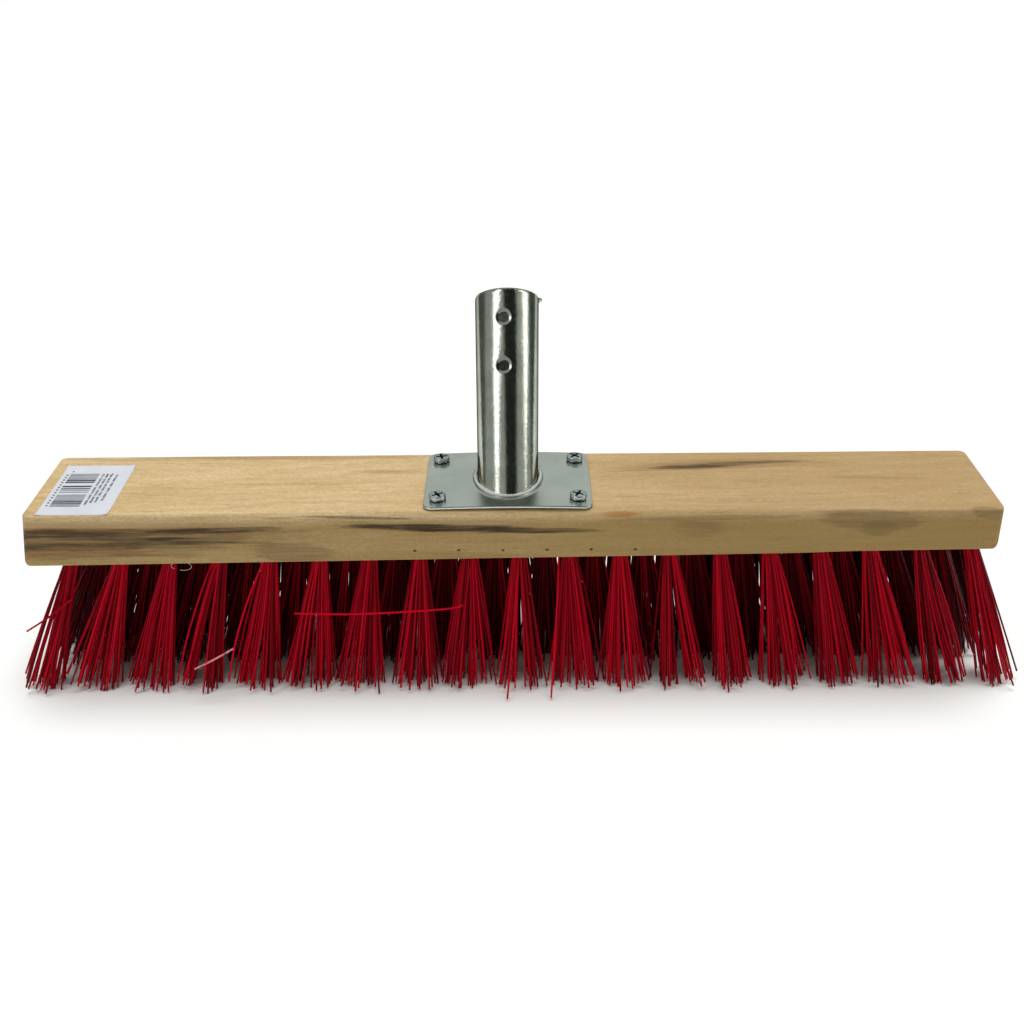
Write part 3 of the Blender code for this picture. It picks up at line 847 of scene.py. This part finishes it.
def lay_out_columns(mesh, count, length, sides):
    """UV map with the filaments side by side; round each, the wall runs there and back."""
    layer = mesh.uv_layers.new(name="OFBake")

    def read(items, field):
        values = np.zeros(len(items), np.int32)
        items.foreach_get(field, values)
        return values

    index = read(mesh.loops, "vertex_index")
    filament = index // (length * sides)
    ring = (index % (length * sides)) // sides
    around = index % sides
    starts, totals = read(mesh.polygons, "loop_start"), read(mesh.polygons, "loop_total")
    polygon = np.repeat(np.arange(len(mesh.polygons)), totals)
    position = np.arange(len(index)) - starts[polygon]
    quad = totals[polygon] == 4
    wrapped = quad & (around == 0) & ((position == 1) | (position == 2))
    turn = np.where(wrapped, sides, around) / sides
    u = (filament + 0.08 + 0.84 * turn) / count
    v = 0.02 + 0.90 * ring / (length - 1)
    angle = 2.0 * math.pi * around / sides
    cap_u = (filament + 0.5 + 0.35 * np.cos(angle)) / count
    cap_v = np.where(ring == 0, 0.945, 0.98) + 0.012 * np.sin(angle)
    uv = np.stack([np.where(quad, u, cap_u), np.where(quad, v, cap_v)], 1)
    layer.data.foreach_set("uv", uv.astype(np.float32).ravel())


def make_bristles(material):
    by_node = {}
    for node, hole, tip, row in TUFTS:
        by_node.setdefault(node, []).append((hole, tip, row))
    for number, node in enumerate(sorted(by_node)):
        rng = np.random.default_rng(SEED + 100 + number)
        outer = by_node[node][0][2] in (0, 3)
        segments, sides = OUTER_SHAPE if outer else INNER_SHAPE
        count = OUTER_FILAMENTS if outer else INNER_FILAMENTS
        paths = [
            filament_paths(hole, tip, count, segments, rng, row)
            for hole, tip, row in by_node[node]
        ]
        # Inner bunches get a near-black tone: painted shade, as they sit behind the outer rows.
        mean_tone = 0.56 if outer else 0.02
        mesh = bristle_mesh(f"bristles_{node}", np.concatenate(paths), sides, rng, mean_tone)
        add_piece(f"bristles_{node}", mesh, material, [node])


def loose_filament(name, spots, tone, material):
    """One stray filament on a smooth curve through a few spots, from the block's top middle."""
    knots = np.array([TOP_MIDDLE + Vector(spot) * MM for spot in spots])
    t = np.linspace(0.0, len(knots) - 1.0, 18)
    path = np.stack([catmull(knots, value) for value in t])[None]
    rng = np.random.default_rng(SEED + 7)
    mesh = bristle_mesh(name, path, 8, rng)
    mesh.attributes["tone"].data.foreach_set("value", np.full(len(mesh.vertices), tone, np.float32))
    add_piece(name, mesh, material)


def catmull(knots, value):
    """Point on the Catmull-Rom curve through the knots."""
    i = min(int(value), len(knots) - 2)
    t = value - i
    p0, p1 = knots[max(i - 1, 0)], knots[i]
    p2, p3 = knots[i + 1], knots[min(i + 2, len(knots) - 1)]
    return 0.5 * (
        2.0 * p1 + (p2 - p0) * t + (2.0 * p0 - 5.0 * p1 + 4.0 * p2 - p3) * t ** 2
        + (3.0 * p1 - p0 - 3.0 * p2 + p3) * t ** 3
    )


# Stray filaments: (name, spots from the middle of the block's top in millimetres, tone).
STRAYS = (
    ("loose_filament_across", ((-115, -39.5, -56.2), (-86, -41.5, -55.6), (-57, -41.5, -54.4),
                               (-33, -40.5, -53.2), (-25.8, -39.5, -51.6)), 0.85),
    ("loose_filament_left", ((-233, -33.0, -50.0), (-246, -36.0, -59.5), (-259, -38.0, -67.5)), 0.55),
    ("loose_filament_pale", ((-148, -46.0, -74.0), (-158, -48.5, -79.0), (-169, -49.5, -84.6)), 1.0),
    ("loose_filament_long_1", ((3.5, -24.6, -25.0), (1.4, -36.6, -58.0), (-3.0, -52.5, -103.6)), 0.80),
    ("loose_filament_long_2", ((25.0, -24.6, -25.0), (23.6, -36.4, -58.0), (20.5, -52.2, -103.6)), 0.95),
)


# ---------------------------------------------------------------- handle socket, plate, weld, screws


def read_socket():
    """Axis, foot centre, length and radii of the handle socket."""
    cloud = points("handle_socket")
    low = cloud[cloud[:, 2] < cloud[:, 2].min() + 0.01 * MM]
    foot = Vector((mid_range(low[:, 0]), mid_range(low[:, 1]), low[:, 2].min()))
    centre_x = foot.x
    far = cloud[:, 1].argmax()
    high = cloud[:, 2].argmax()
    back_rim, top_rim = Vector(cloud[far]), Vector(cloud[high])
    mouth = (back_rim + top_rim) / 2
    axis = (back_rim - top_rim).normalized().cross(AXIS_X)
    axis *= math.copysign(1.0, axis.z)
    mouth.x = centre_x
    return {
        "axis": axis, "back": Vector((0.0, axis.z, -axis.y)), "mouth": mouth,
        "mouth_radius": (back_rim - top_rim).length / 2,
        "foot_radius": (low[:, 0].max() - low[:, 0].min()) / 2,
        "lean": math.atan2(axis.y, axis.z),
        "centre_x": centre_x,
    }


SOCKET = read_socket()
SOCKET_LENGTH = (SOCKET["mouth"].z - BLOCK["top"]) / SOCKET["axis"].z


def socket_spot(along, radius, angle):
    """Point round the socket; along runs from the block's top face, angle 0 is +X."""
    centre = SOCKET["mouth"] - SOCKET["axis"] * (SOCKET_LENGTH - along)
    around = Vector((math.cos(angle), 0.0, 0.0)) + SOCKET["back"] * math.sin(angle)
    return centre + around * radius


def socket_radius(along):
    share = along / SOCKET_LENGTH
    return SOCKET["foot_radius"] + (SOCKET["mouth_radius"] - SOCKET["foot_radius"]) * share


def level_ring(z, radius, angles):
    """Where a straight tube of this radius round the socket's axis meets height z."""
    ring = []
    rise = (z - BLOCK["top"]) / math.cos(SOCKET["lean"])
    for angle in angles:
        along = rise + radius * math.sin(angle) * math.tan(SOCKET["lean"])
        ring.append(socket_spot(along, radius, angle))
    return ring


def socket_stations():
    """Distances along the socket: close together round the nail holes."""
    rough = np.linspace(0.24, 0.50, 9) * SOCKET_LENGTH
    fine = np.arange(0.505 * SOCKET_LENGTH, 0.93 * SOCKET_LENGTH, 0.6 * MM)
    rim = np.linspace(0.935, 1.0, 8) * SOCKET_LENGTH
    return [*rough, *fine, *rim]


def dimple(along, angle):
    """How deep the sheet is pressed in round the two nail holes."""
    depth = 0.0
    for height in NAIL_HEIGHTS:
        arc = (angle - 1.5 * math.pi) * socket_radius(along) - NAIL_SIDE
        away = math.hypot(along - height, arc)
        depth += NAIL_DIMPLE_DEPTH * (1.0 - float(smoothstep(NAIL_HOLE * 0.75, NAIL_DIMPLE, away)))
        depth += NAIL_DENT_DEPTH * math.exp(-(away / NAIL_DENT) ** 2)
    return depth


def socket_surface():
    """Skin of the tube, outside then inside, with a rounded rim."""
    angles = turned(LEAN_SAMPLES)
    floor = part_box("handle_socket")[0].z
    skins = []
    for wall, lip in ((0.0, 0.35 * MM), (SOCKET_WALL, -0.25 * MM)):
        skin = [level_ring(floor, SOCKET["foot_radius"] - wall, angles)]
        for along in socket_stations():
            lip_here = lip * float(smoothstep(SOCKET_LENGTH - 0.7 * MM, SOCKET_LENGTH, along)) ** 2
            ring = []
            for angle in angles:
                radius = socket_radius(along) - wall - dimple(along, angle) - lip_here + burr(along, angle)
                ring.append(socket_spot(along, radius, angle))
            skin.append(ring)
        skins.append(skin)
    rings = skins[0] + skins[1][::-1]
    return [p for ring in rings for p in ring], grid_faces(len(rings), LEAN_SAMPLES, wrap_rows=True)


def burr(along, angle):
    """A small torn lip on the rim's right side."""
    turn = (angle + math.pi) % (2.0 * math.pi) - math.pi
    near = math.exp(-((turn - 0.03) / 0.10) ** 2)
    return 2.4 * MM * near * float(smoothstep(SOCKET_LENGTH - 2.0 * MM, SOCKET_LENGTH - 0.4 * MM, along))


def nail_tools():
    """Punches of the two nail holes, through the socket's front wall."""
    parts = []
    for height in NAIL_HEIGHTS:
        middle = socket_spot(height, 0.0, 0.0) + NAIL_SIDE * AXIS_X
        reaches = (socket_radius(height) + 3.0 * MM, socket_radius(height) - 7.0 * MM)
        ends = [middle - SOCKET["back"] * reach for reach in reaches]
        parts.append(prism([circle(end, AXIS_X, SOCKET["axis"], NAIL_HOLE, 32) for end in ends]))
    return merged(parts)


def make_socket(material, inside):
    body = mesh_from("socket_body", *socket_surface())
    mesh = cut_mesh(body, mesh_from("socket_tools", *nail_tools()))
    soften(mesh, 38)
    add_piece("handle_socket_tube", mesh, material, ["handle_socket"])
    mesh.materials.append(inside)
    foot = socket_spot(0.0, 0.0, 0.0)
    for face in mesh.polygons:
        offset = face.center - foot
        along = offset.dot(SOCKET["axis"])
        across = offset - SOCKET["axis"] * along
        if across.dot(face.normal) < 0.0 and across.length < socket_radius(along) - 0.5 * SOCKET_WALL:
            face.material_index = 1


def rounded_outline(half_x, half_y, radius, corner_steps, side_steps):
    """Evenly filled outline (x, y) of a rectangle with round corners, from +X, counter-clockwise."""
    corners = ((1, 1, 0.0), (-1, 1, 0.5), (-1, -1, 1.0), (1, -1, 1.5))
    spots = []
    for side_x, side_y, start in corners:
        centre = (side_x * (half_x - radius), side_y * (half_y - radius))
        for i in range(corner_steps + 1):
            angle = math.pi * (start + 0.5 * i / corner_steps)
            spots.append((centre[0] + radius * math.cos(angle), centre[1] + radius * math.sin(angle)))
    filled = []
    for spot, after in zip(spots, spots[1:] + spots[:1]):
        steps = side_steps if math.dist(spot, after) > 3.0 * radius else 1
        for k in range(steps):
            filled.append(tuple(a + (b - a) * k / steps for a, b in zip(spot, after)))
    return filled


PLATE_LOW, PLATE_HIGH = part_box("base_plate")
PLATE_MIDDLE = (PLATE_LOW + PLATE_HIGH) / 2
PLATE_HALF = (PLATE_HIGH - PLATE_LOW) / 2


def plate_bow(x):
    """Height of the plate's underside over the block."""
    share = (x - PLATE_MIDDLE.x) / PLATE_HALF.x
    rise = 2.0 * PLATE_HALF.z - PLATE_THICKNESS
    return PLATE_LOW.z + rise * max(0.0, 1.0 - share * share)

def plate_surface():
    """Bowed sheet with a rounded rim, and the collar drawn up round the socket."""
    outline = rounded_outline(PLATE_HALF.x, PLATE_HALF.y, PLATE_CORNER, 8, 36)
    spot = PLATE_MIDDLE - socket_spot(0.0, 0.0, 0.0)
    directions = [math.atan2(spot.y + y, spot.x + x) for x, y in outline]
    radius_x, radius_y = SOCKET["foot_radius"], SOCKET["foot_radius"] / math.cos(SOCKET["lean"])
    angles = [math.atan2(math.sin(d) / radius_y, math.cos(d) / radius_x) for d in directions]
    crest = plate_bow(PLATE_MIDDLE.x)

    def collar_ring(height, out):
        """Ring at a height over the plate, out from the socket's skin."""
        radius = SOCKET["foot_radius"] + COLLAR_GAP + out
        ring = level_ring(crest + PLATE_THICKNESS + height, radius, angles)
        return [Vector((p.x, p.y, p.z + plate_bow(p.x) - crest)) for p in ring]

    def sheet_ring(share, inset, lift):
        """Ring between the collar's foot and the outline, at a height over the sheet's underside."""
        ring = []
        for (x, y), near in zip(outline, collar_ring(0.0, COLLAR_WALL + COLLAR_FLARE)):
            rim = Vector((x * (1.0 - inset / PLATE_HALF.x), y * (1.0 - inset / PLATE_HALF.y), 0.0))
            p = near.lerp(PLATE_MIDDLE + rim, share)
            ring.append(Vector((p.x, p.y, plate_bow(p.x) + lift)))
        return ring

    rings = [collar_ring(-PLATE_THICKNESS, 0.0), collar_ring(COLLAR_HEIGHT - 0.25 * MM, 0.0)]
    rings += [collar_ring(COLLAR_HEIGHT, 0.35 * MM), collar_ring(COLLAR_HEIGHT - 0.1 * MM, 0.95 * MM)]
    for step in range(7):
        turn = 0.5 * math.pi * step / 6
        out = COLLAR_WALL + COLLAR_FLARE * (1.0 - math.cos(turn))
        rings.append(collar_ring((COLLAR_HEIGHT - 0.35 * MM) * (1.0 - math.sin(turn)), out))
    rings += [sheet_ring(share, 0.0, PLATE_THICKNESS) for share in SHEET_SHARES]
    for step in range(7):
        turn = math.pi * step / 6
        lift = PLATE_THICKNESS / 2 * (1.0 + math.cos(turn))
        rings.append(sheet_ring(1.0, PLATE_EDGE * (1.0 - math.sin(turn)), lift))
    rings += [sheet_ring(share, 0.0, 0.0) for share in (0.7, 0.35, 0.0)]
    return [p for ring in rings for p in ring], grid_faces(len(rings), len(outline), wrap_rows=True)


def screw_centres():
    """Middle of each screw's top."""
    boxes = [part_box(f"plate_screw_{number}") for number in (1, 2, 3, 4)]
    return [Vector(((low.x + high.x) / 2, (low.y + high.y) / 2, high.z)) for low, high in boxes]


def make_plate(material):
    body = mesh_from("plate_body", *plate_surface())
    parts = []
    for centre in screw_centres():
        heights = (BLOCK["top"] - 2.0 * MM, BLOCK["top"] + 6.0 * MM)
        parts.append(prism([level_circle(centre, z, PLATE_HOLE, 24) for z in heights]))
    mesh = cut_mesh(body, mesh_from("plate_tools", *merged(parts)))
    soften(mesh, 40)
    add_piece("base_plate_pressed", mesh, material, ["base_plate"])


def make_weld(material):
    """Thin uneven seam between the collar's lip and the socket."""
    steps, sides = 260, 10
    rng = np.random.default_rng(SEED + 3)
    wobble = rng.normal(0.0, 1.0, (6, 2)).tolist()
    top = plate_bow(SOCKET["centre_x"]) + PLATE_THICKNESS + COLLAR_HEIGHT
    verts = []
    for angle in turned(steps):
        lump = sum(a * math.sin((k + 2) * angle * 2.3 + b) for k, (a, b) in enumerate(wobble)) / 6.0
        grit = float(rng.uniform(-1.0, 1.0))
        thick = (0.86 + 0.46 * lump + 0.16 * grit) * MM
        thick *= 1.0 + 0.55 * math.exp(-((angle - 3.95) / 0.35) ** 2)
        height = top - 0.20 * MM + 0.10 * MM * grit
        centre = level_ring(height, SOCKET["foot_radius"] + 1.25 * MM, [angle])[0]
        out = Vector((math.cos(angle), math.sin(angle) / math.cos(SOCKET["lean"]), 0.0)).normalized()
        verts += circle(centre, out, Vector((0.0, 0.0, 0.85)), thick, sides)
    mesh = mesh_from("weld_seam", verts, grid_faces(steps, sides, wrap_rows=True), 80)
    outward(mesh)
    add_piece("socket_weld_seam", mesh, material, ["socket_weld"])


def screw_mesh(name, centre, bottom, turn_degrees):
    """Pan head with a Phillips recess, over a plain shank."""
    top = centre.z
    seat = top - SCREW_HEAD_HEIGHT * MM
    profile = [(0.3, bottom), (1.6, bottom + 3.0 * MM), *((r, seat + h * MM) for r, h in SCREW_HEAD)]
    mesh = mesh_from(name, *prism([level_circle(centre, z, r * MM, 40) for r, z in profile]))
    parts = []
    for quarter in (0.0, 90.0):
        turn = math.radians(turn_degrees + quarter)
        side = Vector((math.cos(turn), math.sin(turn), 0.0))
        up = Vector((-side.y, side.x, 0.0))
        rings = []
        for height, long, wide in RECESS_ARM:
            corners = ((long, -wide), (long, wide), (-long, wide), (-long, -wide))
            level = centre + Vector((0.0, 0.0, height * MM))
            rings.append([level + (u * side + v * up) * MM for u, v in corners])
        parts.append(prism(rings))
    parts.append(prism([level_circle(centre, top + h * MM, r * MM, 20) for h, r in RECESS_MIDDLE]))
    for number, part in enumerate(parts):
        mesh = cut_mesh(mesh, mesh_from(f"{name}_tool_{number}", *part))
    soften(mesh, 35)
    return mesh


def make_screws(material, recess):
    for number, (centre, turn) in enumerate(zip(screw_centres(), SCREW_TURNS), start=1):
        node = f"plate_screw_{number}"
        mesh = screw_mesh(f"{node}_pan_head", centre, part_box(node)[0].z, turn)
        add_piece(f"{node}_pan_head", mesh, material, [node])
        # The cross recess takes a near-black material: painted shade.
        mesh.materials.append(recess)
        for face in mesh.polygons:
            away = math.hypot(face.center.x - centre.x, face.center.y - centre.y)
            if away < 3.4 * MM and centre.z - 2.0 * MM < face.center.z < centre.z - 0.16 * MM:
                face.material_index = 1


# ---------------------------------------------------------------- label


def label_sheet():
    """Paper pressed onto the wood, with its corners slightly raised."""
    low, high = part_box("price_label")
    columns, rows = 24, 34
    verts = []
    for layer in (0, 1):
        for j in range(rows + 1):
            for i in range(columns + 1):
                u, v = i / columns, j / rows
                x = low.x + (high.x - low.x) * u
                y = low.y + (high.y - low.y) * v
                corner = max(abs(u - 0.5), abs(v - 0.5)) * 2.0
                curl = 0.45 * MM * max(0.0, (abs(2 * u - 1) + abs(2 * v - 1)) / 2 - 0.90) / 0.10
                ripple = 0.03 * MM * math.sin(9.0 * u + 5.0 * v) * (1.0 - corner)
                z = BLOCK["top"] + PAPER_LIFT + curl + ripple + layer * PAPER_THICKNESS
                verts.append((x, y, z))
    across = columns + 1
    count = across * (rows + 1)
    sheet = grid_faces(rows + 1, across, wrap_columns=False)
    faces = [(face[0], *face[:0:-1]) for face in sheet]
    faces += [tuple(count + i for i in face) for face in sheet]
    rim = list(range(across)) + [j * across + columns for j in range(1, rows + 1)]
    rim += range(count - 2, count - 1 - across, -1)
    rim += range((rows - 1) * across, 0, -across)
    faces += [(a, b, count + b, count + a) for a, b in zip(rim, rim[1:] + rim[:1])]
    return verts, faces


def label_print():
    """Generic bars and greeked rules, as thin raised strips of ink."""
    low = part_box("price_label")[0]
    levels = [BLOCK["top"] + height for height in INK_HEIGHTS]
    parts = []

    def strip(x0, x1, y0, y1):
        corners = ((x0, y0), (x1, y0), (x1, y1), (x0, y1))
        rings = [[Vector((low.x + x * MM, low.y + y * MM, z)) for x, y in corners] for z in levels]
        parts.append(prism(rings))

    for start, end, spacing in BAR_GROUPS:
        y, i = start, 0
        while y < end:
            thick = BAR_WIDTHS[(i * 5 + int(start)) % len(BAR_WIDTHS)]
            strip(4.4, 20.0, y, min(y + thick, end + 0.3))
            y += thick + spacing
            i += 1
    for i in range(13):
        strip(2.2, 3.3, 9.5 + 2.8 * i, 10.6 + 2.8 * i)
    rng = np.random.default_rng(SEED + 5)
    for x, start in RULES:
        y = start
        while y < RULE_END:
            word_end = y + rng.uniform(4.0, 9.0)
            while y < min(word_end, RULE_END):
                strip(x, x + 1.25, y, y + 0.42)
                strip(x + rng.choice((0.0, 0.5, 0.9)), x + 1.25, y + 0.42, y + 0.80)
                y += 1.15
            y += 0.9
    strip(4.4, 5.4, 47.0, 48.0)
    return merged(parts)


def make_label(paper, ink):
    mesh = mesh_from("label_sheet", *label_sheet())
    outward(mesh)
    add_piece("price_label_paper", mesh, paper, ["price_label"])
    print_mesh = mesh_from("label_print", *label_print())
    outward(print_mesh)
    add_piece("price_label_generic_print", print_mesh, ink)


def make_shavings(material):
    """Two wood shavings that hang from the lower front arris."""
    for number, (along, size, turns) in enumerate(((-170.5, 3.6, 0.62), (-175.0, 2.4, 0.45)), start=1):
        x = BLOCK["middle"] + along * MM
        z = underside(x) + 0.4 * MM
        path = []
        for i in range(16):
            t = i / 15
            angle = 2.0 * math.pi * turns * t
            path.append((
                x + size * MM * math.sin(angle) * (1.0 if number == 1 else -1.0),
                BLOCK["front"] + (0.9 - 1.6 * t) * MM,
                z - 0.55 * size * MM * (1.0 - math.cos(angle)),
            ))
        radii = np.array([0.15 * MM])
        verts, faces = tube_arrays(np.array(path)[None], 6, radii)
        mesh = mesh_from(f"shaving_{number}", verts, faces, 60)
        add_piece(f"wood_shaving_{number}", mesh, material)


# ---------------------------------------------------------------- stage


def make_board(name, width, height, colour, place, target=None):
    """Flat matt board, for the stage's floor and cards."""
    x, y = width / 2, height / 2
    mesh = mesh_from(name, [(-x, -y, 0.0), (x, -y, 0.0), (x, y, 0.0), (-x, y, 0.0)], [(0, 1, 2, 3)])
    mesh.materials.append(Nodes(f"{name}_paint").finish(colour, 0.9, Specular_IOR_Level=0.0))
    board = set_up(name, mesh, place, target)
    return board


def direction(azimuth, elevation, distance):
    """Place seen from the socket; azimuth 0 is the sweeping side, 90 the right."""
    a, e = math.radians(azimuth), math.radians(elevation)
    away = Vector((math.sin(a) * math.cos(e), -math.cos(a) * math.cos(e), math.sin(e)))
    return SOCKET["mouth"] + distance * away


def make_stage():
    """Floor, sky, sun, softboxes, and cards that show only in the metal's reflections."""
    make_board("stage_floor", FLOOR_SIZE, FLOOR_SIZE, (0.90, 0.90, 0.90), (0.0, 0.0, -0.1 * MM))
    world = bpy.data.worlds.new("studio")
    world.use_nodes = True
    background = world.node_tree.nodes["Background"]
    background.inputs["Color"].default_value = SKY_COLOUR
    background.inputs["Strength"].default_value = SKY_STRENGTH
    bpy.context.scene.world = world

    sun = bpy.data.lights.new("overhead", "SUN")
    sun.energy, sun.angle = SUN_STRENGTH, SUN_ANGLE
    set_up("overhead", sun, target=SUN_DIRECTION).visible_glossy = False

    for name, azimuth, elevation, distance, width, height, watts, colour in SOFTBOXES:
        light = bpy.data.lights.new(name, "AREA")
        light.shape = "RECTANGLE"
        light.size, light.size_y = width, height
        light.energy, light.color = watts, colour
        set_up(name, light, direction(azimuth, elevation, distance), TOP_MIDDLE)
    for name, azimuth, elevation, distance, width, height, colour in CARDS:
        card = make_board(name, width, height, colour, direction(azimuth, elevation, distance), TOP_MIDDLE)
        card.visible_camera = False
        card.visible_shadow = False
        card.visible_diffuse = False


def make_camera():
    data = bpy.data.cameras.new("camera")
    data.sensor_width = SENSOR_WIDTH
    data.lens = FOCAL_LENGTH
    camera = set_up("camera", data)
    ce, se = math.cos(CAMERA_PITCH), math.sin(CAMERA_PITCH)
    cy, sy = math.cos(CAMERA_YAW), math.sin(CAMERA_YAW)
    forward = Vector((sy * ce, cy * ce, -se))
    right = Vector((cy, -sy, 0.0))
    up = right.cross(forward)
    cr, sr = math.cos(CAMERA_ROLL), math.sin(CAMERA_ROLL)
    rolled_right = right * cr + up * sr
    rolled_up = up * cr - right * sr
    turn = Matrix((rolled_right, rolled_up, -forward)).transposed()
    camera.matrix_world = Matrix.Translation(TOP_MIDDLE + CAMERA_PLACE) @ turn.to_4x4()
    bpy.context.scene.camera = camera


def main():
    view = bpy.context.scene.view_settings
    view.view_transform = "Standard"
    view.look = "None"

    make_block(wood_material())
    red = bristle_material()
    make_bristles(red)
    pale_highlight_red = pale_highlight_material()
    for name, spots, tone in STRAYS:
        # The pale stray filament takes the painted-highlight red.
        loose_filament(name, spots, tone, pale_highlight_red if "pale" in name else red)
    tube_zinc = zinc_material("zinc_tube", (0.70, 0.73, 0.65), (0.11, 0.21), 850.0, 0.085 * MM)
    make_socket(tube_zinc, dark_steel_and_shade_material("socket_inside", (0.100, 0.112, 0.096)))
    make_plate(plate_material())
    weld_look = {"spangle": 1300.0, "relief": 0.42 * MM, "blemish": 0.45, "metallic": 0.60}
    make_weld(zinc_material("zinc_weld", (0.93, 0.94, 0.91), (0.26, 0.52), **weld_look))
    screw_zinc = zinc_material("zinc_screw", (0.72, 0.80, 0.82), (0.22, 0.34), 1500.0, 0.006 * MM, 0.0)
    make_screws(screw_zinc, dark_steel_and_shade_material("screw_recess_painted_shade", (0.012, 0.018, 0.020)))
    make_label(paper_material(), ink_material())
    make_shavings(shaving_material())
    make_stage()
    make_camera()


main()
